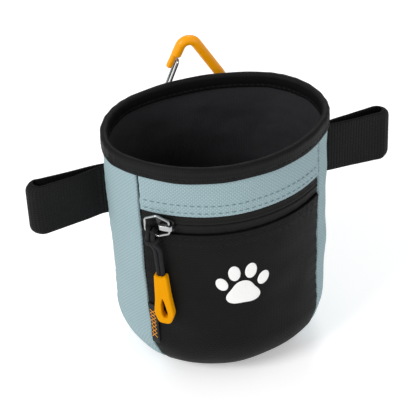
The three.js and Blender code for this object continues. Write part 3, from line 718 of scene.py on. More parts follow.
def panel(name, start, end, low, high, finish, replaces, seed, hem_at=None, hem_side=0,
          rows=()):
    """A panel between two seams. hem_at is its folded edge, and rows are the distances from
    that edge at which it is stitched."""
    levels = rows_between(low, high)
    if hem_at is not None:
        fine = hem_at - hem_side * np.array([0, 0.12, 0.35, 0.7, 1.2])
        levels = np.union1d(levels[np.abs(levels - hem_at) > 1.5], fine)
    facing, level, left, right = panel_grid(start, end, levels)
    out = rolled(left) + rolled(right)
    out = out + pucker(level, left, seed) + pucker(level, right, seed + 2)
    bottom = np.clip(level - BASE_EDGE, 0, None)
    out = out + rolled(bottom)
    thick = np.full_like(out, FABRIC)
    if hem_at is not None:
        away = hem_side * (hem_at - level)
        doubled = 1 - smooth_step(away, HEM - 0.8, HEM + 0.8)
        out = out + HEM_RISE * doubled + rolled(away, 0.55)
        thick = thick + 0.3 * doubled
        for distance in rows:
            out = out + groove(away - distance)
            out = out + pucker(left, np.abs(away - distance), seed + distance, 0.1, 5.2, 2.0)
        thick = np.maximum(0.1, thick + rolled(away, 0.5) * 0.9)
    outer = cloth(facing, level, out)
    inner = cloth(facing, level, np.maximum(out - thick, -FABRIC - LINING_GAP + 0.1))
    uv = np.stack([left - left[:, -1:] / 2, np.broadcast_to(level, left.shape)], axis=-1)
    slot = "black_fabric" if finish is BLACK_CLOTH else "blue_fabric"
    shell(name, outer, inner, uv, finish, slot, replaces=replaces)


def left_seam(levels):
    """The seam between the front panels and the left side."""
    return -front_seam(levels)


def upright(facing):
    """A seam that keeps one facing all the way up."""
    return lambda levels: np.full_like(levels, facing)


HEM_TOP = ZIP_HEIGHT + ZIP_HALF
HEM_LOW = ZIP_HEIGHT - ZIP_HALF
HEM_ROWS = (2.3, 6.7)
panel("upper_front", left_seam, front_seam, HEM_TOP, WALL_TOP, BLUE_CLOTH,
      ["front_upper_panel"], 1, HEM_TOP, -1, HEM_ROWS)
panel("pocket_front", left_seam, front_seam, BASE_EDGE, HEM_LOW, BLACK_CLOTH,
      ["pocket_panel"], 4, HEM_LOW, 1, HEM_ROWS)
panel("left_side", upright(-BACK_SEAM), left_seam, BASE_EDGE, WALL_TOP, BLUE_CLOTH,
      ["left_side_panel"], 6)
panel("right_side", front_seam, upright(BACK_SEAM), BASE_EDGE, WALL_TOP, BLUE_CLOTH,
      ["right_side_panel"], 9)
panel("back", upright(BACK_SEAM), upright(2 * math.pi - BACK_SEAM), BASE_EDGE, WALL_TOP,
      BLUE_CLOTH, ["back_panel"], 12)


def around(count):
    """Even facings all the way round."""
    return np.linspace(0, 2 * math.pi, count, endpoint=False)


def bucket_grid(bottom_rows, levels, count):
    """Facings and levels of a grid from the middle of the base up the wall."""
    levels = np.concatenate([[-0.97], np.linspace(-0.9, 0, bottom_rows), levels])
    return np.broadcast_arrays(around(count), levels[:, None])


def base():
    """The base panel: a flat oval that turns up into the wall's lower seam."""
    grid, level = bucket_grid(22, rows_between(0.8, BASE_EDGE, 0.9), BASE_COLUMNS)
    out = rolled(BASE_EDGE - level)
    outer = wall(grid, level, out)
    inner = wall(grid, level, out - FABRIC)
    uv = np.concatenate([outer[..., :2], outer[:, :1, :2]], axis=1)
    shell("base", outer, inner, uv, BLACK_CLOTH, "black_fabric", wrap=True, capped=True,
          replaces=["base_panel"])


base()


def pocket_sink(facing, level):
    """The lining steps in behind the pocket."""
    turn = np.abs(np.arctan2(np.sin(facing), np.cos(facing)))
    sideways = 1 - smooth_step(turn, math.radians(44), math.radians(62))
    upwards = 1 - smooth_step(level, POCKET_BACK_TOP, WALL_TOP - 6)
    return (POCKET_BACK_DEPTH - 0.3) * sideways * upwards * smooth_step(level, 4, 10)


def lining():
    """The loose inner bag, with its own seams, behind the wall and the pocket."""
    grid, level = bucket_grid(20, rows_between(1, WALL_TOP, 1.6), LINING_COLUMNS)
    places = wall(grid, level)
    creases = 0.55 * rumple(places, 12.0, 21) + 0.3 * rumple(places, 5.5, 23)
    loose = smooth_step(level, 3, 14) * (1 - smooth_step(level, 120, 136))
    sunk = pocket_sink(grid, level) + 0.5 * loose * (1 + creases)
    for seam in (BACK_SEAM, 2 * math.pi - BACK_SEAM):
        away = np.abs(grid - seam) * LINING_RADIUS
        sunk = sunk + 0.5 * np.exp(-(away / LINING_SEAM) ** 2) * smooth_step(level, 0, 4)
    floor_seam = np.exp(-((level - 8) / LINING_SEAM) ** 2)
    out = -FABRIC - LINING_GAP - sunk - 0.4 * floor_seam
    outer = cloth(grid, level, out)
    inner = cloth(grid, level, out - LINING)
    columns = np.linspace(0, 2 * math.pi * LINING_MAP, LINING_COLUMNS + 1)
    uv = np.stack(np.meshgrid(columns, level[:, 0]), axis=-1)
    shell("inner_bag", outer, inner, uv, LINING_CLOTH_PAINTED_LIGHT, "lining_fabric", wrap=True, capped=True,
          replaces=["lining"])


lining()


def pocket_backing():
    """The pocket's inner wall, a little narrower than the front."""
    levels = rows_between(POCKET_BACK_LOW, POCKET_BACK_TOP, 2.0)
    facing, level, left, _ = panel_grid(lambda at: POCKET_BACK_MARGIN - front_seam(at),
                                        lambda at: front_seam(at) - POCKET_BACK_MARGIN,
                                        levels, 2.0)
    loose = 0.1 * rumple(wall(facing, level), 14.0, 5)
    outer = cloth(facing, level, loose - POCKET_BACK_DEPTH)
    inner = cloth(facing, level, -POCKET_BACK_DEPTH - POCKET_BACK)
    shell("pocket_back", outer, inner, np.stack([left, level], axis=-1), INNER_CLOTH,
          "lining_fabric", replaces=["pocket_backing"])


# ---- the bound rim ------------------------------------------------------------------------

BINDING_FOLD = 0.6
BINDING_HALF = 2.1
EDGE_MIDDLE = -1.2                     # the middle of the layers that the ribbon covers
HOOP_RADIUS = 0.9
BINDING_STITCH = 1.6                   # the stitches run this far above the ribbon's edge


def binding_sway(facing):
    """The ribbon's lower edge wanders a little where it was sewn on by hand."""
    return 0.22 * np.sin(facing * 7 + 1) + 0.12 * np.sin(facing * 17)


def binding():
    """The ribbon folded over the rim and round its hoop, sewn on near its lower edges."""
    bow = HEIGHT - BINDING_HALF
    low = HEIGHT - BINDING_DROP
    arc = np.linspace(0, math.pi, 13)
    inside = BINDING_HALF - BINDING_FOLD
    up = np.linspace(low, bow, 9)[:-1]
    flat = np.ones(len(up))
    levels = np.concatenate([up, bow + BINDING_HALF * np.sin(arc), up[::-1],
                             up, bow + inside * np.sin(arc[::-1]), up[::-1]])
    outs = np.concatenate([flat * BINDING_HALF, BINDING_HALF * np.cos(arc), flat * -BINDING_HALF,
                           flat * -inside, inside * np.cos(arc[::-1]), flat * inside])
    facing = even_facings(0, 2 * math.pi, 1.3, HEIGHT)[:-1, None]
    low_share = 1 - smooth_step(levels, low, low + 3)
    level = levels + low_share * binding_sway(facing)
    dent = groove(levels - low - BINDING_STITCH, 0.22, 0.6) * np.sign(outs)
    plump = 0.12 * np.sin(facing * 29 + np.sin(facing * 5)) * (1 - low_share) * np.sign(outs)
    rings = wall(facing, level, EDGE_MIDDLE + outs + dent + plump)
    swept("binding", rings, RIBBON, "binding_ribbon", closed=True, replaces=["rim_binding"])


binding()
pocket_backing()

hoop_facing = even_facings(0, 2 * math.pi, 3.0, HEIGHT)[:-1]
tube("hoop", wall(hoop_facing, HEIGHT - BINDING_HALF, EDGE_MIDDLE), HOOP_RADIUS, NICKEL,
     "hoop_steel", sides=12, closed=True, replaces=["rim_hoop"])


# ---- the zip ------------------------------------------------------------------------------

# A tape across its width: (distance from the zip's line, distance off the wall).
TAPE_EDGE = [(0.05, -1.1), (0.12, -0.75), (0.3, -0.5), (0.55, -0.33), (0.9, -0.25),
             (1.4, -0.25), (1.9, -0.33), (2.3, -0.5), (2.8, -0.62), (3.4, -0.66), (4.2, -0.7),
             (5.0, -0.8), (6.0, -1.15), (7.4, -1.2)]
TAPE_THICKNESS = 0.22
COIL_PITCH = 1.25
COIL_MIDDLE = 0.75                     # how far each row's middle is from the zip's line
COIL_HALF, COIL_DEPTH = 0.62, 0.4      # half its height and half its depth
COIL_OUT = -1.55
COIL_WIRE = 0.2


def tape(name, sign, node):
    """One tape: a rolled edge over the coil at the middle, then flat and under the fold."""
    away, out = np.array(TAPE_EDGE[::sign]).T
    reach = front_seam(ZIP_HEIGHT) - 0.01
    grid, level = np.meshgrid(np.linspace(-reach, reach, 140), ZIP_HEIGHT + sign * away)
    outs = out[:, None] + 0.06 * np.sin(grid * 55 + sign)
    outer, inner = wall(grid, level, outs), wall(grid, level, outs - TAPE_THICKNESS)
    uv = np.stack([grid * FRONT_RADIUS, level], axis=-1)
    shell(name, outer, inner, uv, TAPE_CLOTH, "zip_tape", replaces=[node])


def coil(name, sign, node):
    """One row of the zip: a wire wound along the inside of its tape."""
    reach = front_seam(ZIP_HEIGHT) - 0.02
    turns = int(2 * reach * FRONT_RADIUS / COIL_PITCH)
    turn = np.linspace(0, 2 * math.pi * turns, turns * 9)
    facing = np.linspace(-reach, reach, len(turn)) + (COIL_PITCH / 4 / FRONT_RADIUS) * sign
    path = wall(facing, ZIP_HEIGHT + sign * (COIL_MIDDLE + COIL_HALF * np.cos(turn)),
                COIL_OUT + COIL_DEPTH * np.sin(turn))
    tube(name, path, COIL_WIRE, COIL_PLASTIC, "zip_coil", sides=5, replaces=[node])


for make, part in ((tape, "tape"), (coil, "coil")):
    for side_name, sign in (("upper", 1), ("lower", -1)):
        make(f"{side_name}_{part}", sign, f"zip_{part}_{side_name}")

slider_spot = wall(SLIDER_REST, ZIP_HEIGHT)
slider_up = unit(wall(SLIDER_REST, ZIP_HEIGHT + 1) - wall(SLIDER_REST, ZIP_HEIGHT - 1))
slider_run = np.array([math.cos(SLIDER_REST), math.sin(SLIDER_REST), 0])
slider_in = np.cross(slider_up, slider_run)


def in_slider(points):
    """Points from the slider's frame: x along the zip, y into the pouch and z up."""
    points = np.asarray(points, float)
    return (slider_spot + points[..., :1] * slider_run + points[..., 1:2] * slider_in
            + points[..., 2:] * slider_up)


def rounded(corners, radius, count=6):
    """A polygon with its corners rounded, as points in its own plane."""
    corners = np.asarray(corners, float)
    spots = []
    for before, here, after in zip(np.roll(corners, 1, axis=0), corners,
                                   np.roll(corners, -1, axis=0)):
        first = here + unit(before - here) * radius
        last = here + unit(after - here) * radius
        for t in np.linspace(0, 1, count):
            spots.append((1 - t) ** 2 * first + 2 * t * (1 - t) * here + t * t * last)
    return np.array(spots)


def even_outline(outline, step=None, count=None):
    """A closed outline with a point at every step, or with a given number of points."""
    loop = np.concatenate([outline, outline[:1]])
    whole = along_row(loop)[-1]
    if count is None:
        return resample(loop, np.arange(int(whole / step)) * step)
    return resample(loop, np.linspace(0, whole, count, endpoint=False))


def outline_normal(outline):
    """Directions out of a closed outline."""
    after = np.roll(outline, -1, axis=0)
    ahead = after - np.roll(outline, 1, axis=0)
    normal = unit(np.stack([ahead[:, 1], -ahead[:, 0]], axis=1))
    area = np.sum(outline[:, 0] * after[:, 1] - after[:, 0] * outline[:, 1])
    return normal if area > 0 else -normal


def softened(outline, soft, low, high, steps):
    """(outline, depth) pairs of a plate's edge, rounded towards its low and high faces."""
    normal = outline_normal(outline)
    inset = [(outline - normal * soft * (1 - math.sin(t)), abs(soft) * (1 - math.cos(t)))
             for t in np.linspace(0, math.pi / 2, steps)]
    return ([(spots, low + rise) for spots, rise in inset]
            + [(spots, high - rise) for spots, rise in inset[::-1]])


def ring_of(spots, depth):
    """An outline's (x, z) points at one depth y."""
    return np.column_stack([spots[:, 0], np.full(len(spots), depth), spots[:, 1]])


def slab_rings(outline, low, high, soft):
    """Rings of a flat plate with softened edges: its outline shrinks towards both faces."""
    return np.array([ring_of(*edge) for edge in softened(outline, soft, low, high, 5)])


def shield(length, broad, narrow):
    """A slider plate's outline: broad where the two rows part, narrow where they close."""
    half = length / 2
    return rounded([(-half, -broad), (0.2 * half, -broad), (half, -narrow), (half, narrow),
                    (0.2 * half, broad), (-half, broad)], 1.3)


NECK_START, NECK_END, NECK_HALF = -4.1, -1.5, 0.3
BRIDGE_WIDTH, BRIDGE_THICKNESS = 3.0, 0.75
BRIDGE_ARCH = [(-2.8, -1.2), (-2.7, -2.6), (-2.4, -3.8), (-1.5, -4.25), (0.8, -4.35),
               (3.2, -4.25), (4.0, -3.8), (4.3, -2.6), (4.4, -1.2)]


def slider():
    """Two plates that a neck joins, and the bridge that holds the ring."""
    neck = rounded([(NECK_START, -NECK_HALF), (NECK_END, -NECK_HALF), (NECK_END, NECK_HALF),
                    (NECK_START, NECK_HALF)], 0.1)
    pieces = [
        ("slider_top", slab_rings(shield(9.4, 4.2, 3.2), -1.35, -0.15, 0.45)),
        ("slider_under", slab_rings(shield(9, 3.7, 2.9), 2.4, 3.1, 0.25)),
        ("slider_neck", slab_rings(neck, -0.5, 2.9, 0.05)),
    ]
    made = [swept(name, in_slider(rings), SLIDER_ENAMEL, "slider_enamel", body="zip_slider")
            for name, rings in pieces]
    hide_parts("slider_body")
    line = curve_through([(x, y, 0) for x, y in BRIDGE_ARCH], 0.35)
    section = strap_section(BRIDGE_WIDTH, BRIDGE_THICKNESS, 8)
    rings = strap_rings(line, section, (0, 0, 1.0))
    swept("bridge", in_slider(rings), NICKEL, "nickel_wire", body="zip_slider",
          replaces=["slider_bridge"])


slider()

RING_PIN_X, RING_PIN_Y = 2.7, -3.05
RING_WIRE = 0.65                       # the room that the cord leaves for the ring
RING_BAR = 0.62
RING_WIDTH = 13.0
RING_HALF_HEIGHT = 6.4
RING_SIDE = 3.7
ring_left, ring_middle = RING_PIN_X - RING_WIDTH, RING_PIN_X - RING_WIDTH / 2
ring_corners = [(RING_PIN_X, -RING_SIDE), (RING_PIN_X, RING_SIDE), (ring_middle, RING_HALF_HEIGHT),
                (ring_left, RING_SIDE), (ring_left, -RING_SIDE), (ring_middle, -RING_HALF_HEIGHT)]
ring_line = even_outline(rounded(ring_corners, 1.2, 8), 0.35)
tube("ring", in_slider(ring_of(ring_line, RING_PIN_Y)), RING_BAR, NICKEL, "nickel_wire", sides=14,
     closed=True, side=slider_in, body="zip_ring", replaces=["pull_ring"])


# ---- the pull -----------------------------------------------------------------------------

CORD = 1.22
CORD_APART = 2.6
HITCH_X, HITCH_Z = -7.1, -5.03
RING_SLOPE = -(RING_HALF_HEIGHT - RING_SIDE) / (RING_WIDTH / 2)
GRIP_TOP_X, GRIP_TOP_Z = -3.7, -30.5
GRIP_LENGTH = 32.5
GRIP_DEPTH = 4.4
GRIP_OUT = 1.1
GRIP_Y = -GRIP_OUT - GRIP_DEPTH / 2
GRIP_OUTLINE = [(-3.5, 0), (-3.9, -17), (-4.9, -26), (-2.6, -GRIP_LENGTH), (4.0, -GRIP_LENGTH),
                (6.3, -26), (4.6, -14), (3.5, 0)]
EYE_OUTLINE = [(0.3, -15.5), (-0.7, -20), (-0.6, -26), (0.6, -28.6), (2.6, -28.3), (2.7, -25),
               (1.4, -19)]


def strand_path(side):
    """One strand: out of the hitch behind the ring, over it and down into the grip."""
    over = RING_WIRE * 1.1 + 0.3 + CORD
    x, y = HITCH_X + side, RING_PIN_Y
    hitch = HITCH_Z + RING_SLOPE * side
    knots = [(x, y + over, hitch - 3.6), (x, y + over, hitch),
             (x, y + over * 0.75, hitch + over * 0.75), (x, y, hitch + over),
             (x, y - over * 0.75, hitch + over * 0.75), (x, y - over, hitch),
             (HITCH_X + side * 0.95, y - over + 0.2, hitch - 4),
             (HITCH_X + side * 0.9 + 2.6, y - 0.6, HITCH_Z - 10),
             (GRIP_TOP_X + side * 0.9 - 0.2, GRIP_Y - 0.5, HITCH_Z - 17),
             (GRIP_TOP_X + side * 0.85, GRIP_Y, GRIP_TOP_Z),
             (GRIP_TOP_X + side * 0.85, GRIP_Y, GRIP_TOP_Z - 3)]
    return curve_through(knots, 0.4)


def braided(path):
    """A braid's radius: it swells at every crossing of its yarns."""
    return CORD * (1 + 0.05 * np.sin(2 * math.pi * along_row(path) / 1.15))


def pull_cord():
    """Two strands through the ring and the bight that hitches them, as one cord."""
    y = RING_PIN_Y
    corners = [(1.9, 1.4, -3.2), (2.7, -1.0, -3.8), (1.4, -3.3, -4.3)]
    left = [(HITCH_X - x, y + out, HITCH_Z + z) for x, out, z in corners]
    right = [(HITCH_X + x, y + out, HITCH_Z + z)
             for x, out, z in ((1.2, -3.3, -4.3), *corners[1::-1])]
    paths = {"cord_left_strand": strand_path(-CORD_APART / 2),
             "cord_right_strand": strand_path(CORD_APART / 2),
             "cord_bight": curve_through(left + right, 0.4)}
    made = [tube(name, in_slider(path), braided(path), BRAID_CORD, "pull_braid", sides=14,
                 body="zip_pull") for name, path in paths.items()]
    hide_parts("pull_cord")


def pull_grip():
    """A moulded loop: a straight shank with a notch for the cord, and an eye low down."""
    half = GRIP_DEPTH / 2
    outer = even_outline(rounded(GRIP_OUTLINE, 2.2, 10), count=200)
    eye = even_outline(rounded(EYE_OUTLINE, 0.9, 8), count=200)
    profile = softened(outer, 1.0, -half, half, 6)[::-1]
    hole = softened(eye, -0.7, -half, half, 6)
    shares = (0.06, 0.35, 0.65, 0.94)
    profile += [(profile[-1][0] * (1 - t) + hole[0][0] * t, -half) for t in shares] + hole
    profile += [(profile[-1][0] * (1 - t) + profile[0][0] * t, half) for t in shares]
    rings = []
    for spots, depth in profile:
        notch = 1.3 * np.exp(-(spots[:, 0] / 2.2) ** 4) * smooth_step(spots[:, 1], -3, 0)
        rings.append(ring_of(spots - notch[:, None] * (0, 1), depth))
    rings = np.array(rings) + (GRIP_TOP_X, GRIP_Y, GRIP_TOP_Z)
    swept("grip", in_slider(np.swapaxes(rings, 0, 1)), GRIP_RUBBER, "grip_rubber", closed=True,
          body="zip_pull", replaces=["pull_grip"])


pull_cord()
pull_grip()

# ---- webbing ------------------------------------------------------------------------------

LOOP_WIDTH = 31.0
LOOP_HEIGHT = 103.0
LOOP_THICKNESS = 1.5
LOOP_TIP = 102.0
LOOP_HALF = 3.2
LOOP_CORNER = 4.5


def loop_path(side, tip):
    """One belt loop in plan: out, round the fold and back."""
    x, y, _ = wall(BACK_SEAM, LOOP_HEIGHT, -0.6)
    apart = 0.95                       # half the space between its layers in the seam
    part = y + (tip - y) * 0.4
    knots = [(x, y - apart), (x + 5, y - apart - 0.1), (x + 16, part - LOOP_HALF * 0.7),
             (LOOP_TIP - 9, tip - LOOP_HALF), (LOOP_TIP - 3.2, tip - LOOP_HALF * 0.9),
             (LOOP_TIP - 0.8, tip), (LOOP_TIP - 3.2, tip + LOOP_HALF * 0.9),
             (LOOP_TIP - 9, tip + LOOP_HALF), (x + 16, part + LOOP_HALF * 0.7),
             (x + 5, y + apart + 0.1), (x, y + apart)]
    flat = [(side * a, b, LOOP_HEIGHT) for a, b in knots]
    return curve_through(flat, 0.7)


def webbing_loop(name, side, tip, node):
    """A belt loop of webbing; side is -1 on the left, and tip is how far back its fold lies."""
    def shape(rings):
        """The strap's corners are worn round at the fold and its faces are not quite flat."""
        inwards = LOOP_TIP - np.abs(rings[..., 0])
        high = rings[..., 2] - LOOP_HEIGHT
        corner = np.clip(np.abs(high) - LOOP_WIDTH / 2 + LOOP_CORNER, 0, LOOP_CORNER)
        worn = LOOP_CORNER - np.sqrt(LOOP_CORNER ** 2 - corner ** 2 + 1e-9)
        rings = rings.copy()
        rings[..., 0] -= side * 0.8 * worn * (1 - smooth_step(inwards, 0, 3 * LOOP_CORNER))
        rings[..., 1] += 0.4 * np.sin(high / 9 + inwards / 11) * smooth_step(-inwards, -38, -20)
        return rings

    strap(name, loop_path(side, tip), (0, 0, 1), LOOP_WIDTH, LOOP_THICKNESS, WEBBING, "webbing",
          shape, replaces=[node])


LOOPS = {"left": (-1, 6.0), "right": (1, 15.0)}
for loop_name, (side, tip) in LOOPS.items():
    webbing_loop(f"{loop_name}_loop", side, tip, f"{loop_name}_webbing_loop")

HOOK_Y, HOOK_Z = 49.9, 111.0
HOOK_BAR = 2.85
TAB_WIDTH = 10.0
TAB_MIDDLE = 0.6
TAB_PLAY = 1.95                        # round the hook's bar
TAB_GAP = 0.3                          # off the wall and between its layers
TAB_THICKNESS = 1.4
TAB_LOW = 86.0
TAB_NECK = 104.0                       # where its layers part to go round the hook


def hook_tab():
    """The webbing tab: up the back wall, round the hook's bar and down over itself."""
    def layer(z, off):
        return (TAB_MIDDLE, float(wall(math.pi, z, TAB_GAP + TAB_THICKNESS / 2 + off)[1]), z)

    second = TAB_THICKNESS + TAB_GAP
    eye = HOOK_BAR + TAB_PLAY + TAB_THICKNESS / 2
    arc = [(TAB_MIDDLE, HOOK_Y + eye * math.cos(t), HOOK_Z + eye * math.sin(t))
           for t in np.radians(np.linspace(195, -50, 11))]
    knots = [layer(TAB_LOW, 0), layer(95, 0), layer(TAB_NECK, 0), layer(108, 0.3), *arc,
             layer(106.5, second + 1.4), layer(TAB_NECK, second), layer(95, second),
             layer(TAB_LOW, second)]
    strap("hook_tab", curve_through(knots, 0.6), (1, 0, 0), TAB_WIDTH, TAB_THICKNESS, WEBBING,
          "webbing", replaces=["carabiner_tab"])


hook_tab()

# ---- the snap hook ------------------------------------------------------------------------

HOOK_SHIFT = 0.9
HOOK_LEAN = math.radians(-2.3)
HOOK_TOP_RADIUS = 5.0
HOOK_LOW_RADIUS = 17.8
HOOK_LEG = math.radians(28)
NOSE_REACH = 6.5
LOW_CENTRE = HOOK_LOW_RADIUS
TOP_CENTRE = HOOK_LOW_RADIUS + (HOOK_LOW_RADIUS - HOOK_TOP_RADIUS) / math.sin(HOOK_LEG)
GATE_FOOT = math.radians(192)
GATE_WIRE = 0.75
GATE_HALF = 2.1
LIP_RADIUS = 1.75                      # the nose's lip, beside the bar's end
LIP_LENGTH = 10.5
LIP_ASIDE = 1.05
LIP_OVERLAP = 3.0

hook_place = Matrix.Translation((HOOK_SHIFT, HOOK_Y, HOOK_Z)) @ Matrix.Rotation(HOOK_LEAN, 4, "Y")
HOOK_TURN = np.array(hook_place.to_3x3())
HOOK_SPOT = np.array(hook_place.translation)


def in_hook(points):
    """Points from the hook's frame: x across, z up, from its bar in the tab."""
    return np.asarray(points, float) @ HOOK_TURN.T + HOOK_SPOT


def bend(centre, radius, start, end, count):
    """An arc in the hook's frame round a centre above its bar."""
    turn = np.linspace(start, end, count)
    return np.stack([radius * np.cos(turn), 0 * turn, centre + radius * np.sin(turn)], axis=1)


leg_top = bend(TOP_CENTRE, HOOK_TOP_RADIUS, math.pi - HOOK_LEG, 0, 1)[0]
leg_low = bend(LOW_CENTRE, HOOK_LOW_RADIUS, math.pi - HOOK_LEG, 0, 1)[0]
down_leg = unit(leg_low - leg_top)
off_leg = np.array([-math.cos(HOOK_LEG), 0, math.sin(HOOK_LEG)])


def hook():
    """The hook's bent bar, the flattened nose that the gate meets, and the wire gate."""
    nose = leg_top + down_leg * NOSE_REACH
    line = np.concatenate([
        bend(LOW_CENTRE, HOOK_LOW_RADIUS, GATE_FOOT, 2 * math.pi + HOOK_LEG, 70),
        bend(TOP_CENTRE, HOOK_TOP_RADIUS, HOOK_LEG, math.pi - HOOK_LEG, 30), nose[None]])
    wanted = np.linspace(0, along_row(line)[-1], 190)
    line = resample(line, wanted)
    from_end = np.minimum(wanted, wanted[-1] - wanted)
    ends = np.sqrt(1 - (1 - np.clip(from_end / 1.4, 0, 1)) ** 2 * 0.75)
    tube("hook", in_hook(line), HOOK_BAR * ends, HOOK_ENAMEL, "hook_enamel", sides=24,
         side=np.array([0, 1.0, 0]), body="snap_hook", replaces=["carabiner_body"])
    lip_start = leg_top + down_leg * (NOSE_REACH - LIP_OVERLAP) + off_leg * LIP_ASIDE
    lip_share = np.linspace(0, 1, 30)
    lip = lip_start + down_leg * LIP_LENGTH * lip_share[:, None]
    tip = np.sqrt(np.clip(1 - (np.clip(lip_share - 0.88, 0, 1) / 0.12) ** 2 * 0.8, 0.1, 1))
    tube("hook_nose", in_hook(lip), LIP_RADIUS * tip, HOOK_ENAMEL, "hook_enamel", sides=20,
         body="snap_hook")
    foot = bend(LOW_CENTRE, HOOK_LOW_RADIUS, GATE_FOOT, 0, 1)[0] + np.array([0, 0, 1.4])
    top = leg_top + down_leg * (NOSE_REACH + 1.6) - off_leg * 1.9
    run, reach = unit(top - foot), float(np.linalg.norm(top - foot))
    flat = even_outline(rounded([(-GATE_HALF, 0), (-GATE_HALF, reach), (GATE_HALF, reach),
                                 (GATE_HALF, 0)], 1.6, 8), 0.4)
    wire = foot + flat[:, :1] * np.array([0, 1.0, 0]) + flat[:, 1:] * run
    tube("gate", in_hook(wire), GATE_WIRE, NICKEL, "nickel_wire", sides=14, closed=True,
         side=HOOK_TURN @ np.cross(run, (0, 1, 0)), body="snap_gate", replaces=["carabiner_gate"])


hook()

# ---- trim ---------------------------------------------------------------------------------

PRINT_HEIGHT = 67.0


def pad(name, x, z, half_wide, half_high, lobes, lean, node):
    """One printed pad: a thin raised patch that follows the fabric."""
    turn = around(64)
    swell = 1 + lobes * np.cos(3 * turn)
    shares = np.array([0.02, 0.35, 0.7, 0.9, 0.97, 1.0])
    u = np.sin(turn) * half_wide * swell * shares[:, None]
    v = np.cos(turn) * half_high * swell * shares[:, None]
    across = x + u * math.cos(lean) - v * math.sin(lean)
    level = PRINT_HEIGHT + z + u * math.sin(lean) + v * math.cos(lean)
    lift = 0.3 - 0.24 * smooth_step(shares, 0.9, 1.0)[:, None] + 0 * across
    outer = cloth(across / FRONT_RADIUS, level, lift)
    inner = cloth(across / FRONT_RADIUS, level, -0.1)
    uv = np.stack([across, level], axis=-1)
    uv = np.concatenate([uv, uv[:, :1]], axis=1)
    shell(name, outer, inner, uv, PRINT_INK, "print_ink", wrap=True, capped=True,
          replaces=[node])


pad("print_pad", 0, -5.5, 9, 7.4, 0.14, 0, "print_palm")
TOES = [(-11.5, 2, 3.1, 4.4, 24), (-4.6, 8.6, 3.3, 4.9, 7), (4.6, 8.6, 3.3, 4.9, -7),
        (11.5, 2, 3.1, 4.4, -24)]
for toe, (x, z, half_wide, half_high, lean) in enumerate(TOES, 1):
    pad(f"print_toe{toe}", x, z, half_wide, half_high, 0, math.radians(lean), f"print_toe_{toe}")

LABEL_LOW, LABEL_HIGH = 27.0, 52.0
LABEL_WIDTH = math.radians(5.0)


def side_label():
    """A folded tape label caught in the front's left seam."""
    levels = rows_between(LABEL_LOW, LABEL_HIGH, 0.9)
    shares = np.linspace(0, 1, 16)
    facing = 0.006 - front_seam(levels)[:, None] + (LABEL_WIDTH - 0.006) * shares
    level = np.broadcast_to(levels[:, None], facing.shape)
    curl = 0.35 * shares ** 2 * (1 + 0.6 * np.sin(level / 5))
    fold = -0.45 * (1 - np.sqrt(np.clip(1 - smooth_step(shares, 0.9, 1.0) ** 2, 0, 1)))
    outer = cloth(facing, level, 0.9 + curl + fold)
    inner = cloth(facing, level, 0.25 + curl * 0.8 - fold * 0.4)
    uv = np.stack([facing * FRONT_RADIUS, level], axis=-1)
    shell("label", outer, inner, uv, LABEL_CLOTH, "label_tape", replaces=["side_label"])


side_label()

# ---- sewing -------------------------------------------------------------------------------


def off_wall(facing):
    """Directions straight off the wall."""
    return np.stack([np.sin(facing), -np.cos(facing), 0 * facing], axis=1)


def level_row(level, start, end, out):
    """A row of stitches round the wall at one level, as points and directions off it."""
    facing = even_facings(start, end, STITCH_PITCH, level)[1:-1]
    return cloth(facing, level, out), off_wall(facing)


edge_of_front = float(front_seam(np.array(ZIP_HEIGHT)))
for row_name, hem_at, hem_side, thread, slot in (
        ("upper_front_sewing", HEM_TOP, 1, GREY_THREAD, "blue_fabric"),
        ("pocket_front_sewing", HEM_LOW, -1, BLACK_THREAD, "black_fabric")):
    rows = [level_row(hem_at + hem_side * away, 0.01 - edge_of_front, edge_of_front - 0.01, out)
            for away, out in zip(HEM_ROWS, (0.36, 0.16))]
    stitches(row_name, rows, thread, 2.4, 0.42)

binding_level = HEIGHT - BINDING_DROP + BINDING_STITCH
RIM_PITCH = 3.2
SEAM_PITCH = 2.6
rim_rows = []
for out in (EDGE_MIDDLE + BINDING_HALF - 0.1, EDGE_MIDDLE - BINDING_HALF + 0.1):
    facing = even_facings(0, 2 * math.pi, RIM_PITCH, HEIGHT)[:-1]
    level = binding_level + binding_sway(facing) * 0.6
    normal = off_wall(facing) * np.sign(out + 1)
    rim_rows.append((wall(facing, level, out), normal))
stitches("binding_sewing", rim_rows, BLACK_THREAD, 2.3, 0.5)

seam_rows = []
for side in (-1, 1):
    levels = np.arange(BASE_EDGE + 2, WALL_TOP - 6, SEAM_PITCH)
    levels = levels[np.abs(levels - ZIP_HEIGHT) > ZIP_HALF + 0.5]
    facing = side * front_seam(levels)
    seam_rows.append((cloth(facing, levels, -1.0), off_wall(facing)))
    facing = np.full_like(levels, side * BACK_SEAM)
    keep = np.abs(levels - LOOP_HEIGHT) > LOOP_WIDTH / 2
    seam_rows.append((cloth(facing[keep], levels[keep], -1.0), off_wall(facing[keep])))
stitches("seam_sewing", seam_rows, BLACK_THREAD, 1.9, 0.5)


TAB_SEWN_HALF = 3.8
tab_rows = []
for z in (89.0, 92.0, 101.5):
    across = np.linspace(TAB_MIDDLE - TAB_SEWN_HALF, TAB_MIDDLE + TAB_SEWN_HALF, 8)
    y = float(wall(math.pi, z, 2 * (TAB_GAP + TAB_THICKNESS))[1]) + 0.05
    points = np.column_stack([across, np.full(8, y), np.full(8, z)])
    tab_rows.append((points, np.tile([0, 1.0, 0], (8, 1))))
stitches("tab_sewing", tab_rows, BLACK_THREAD, 1.1, 0.5)

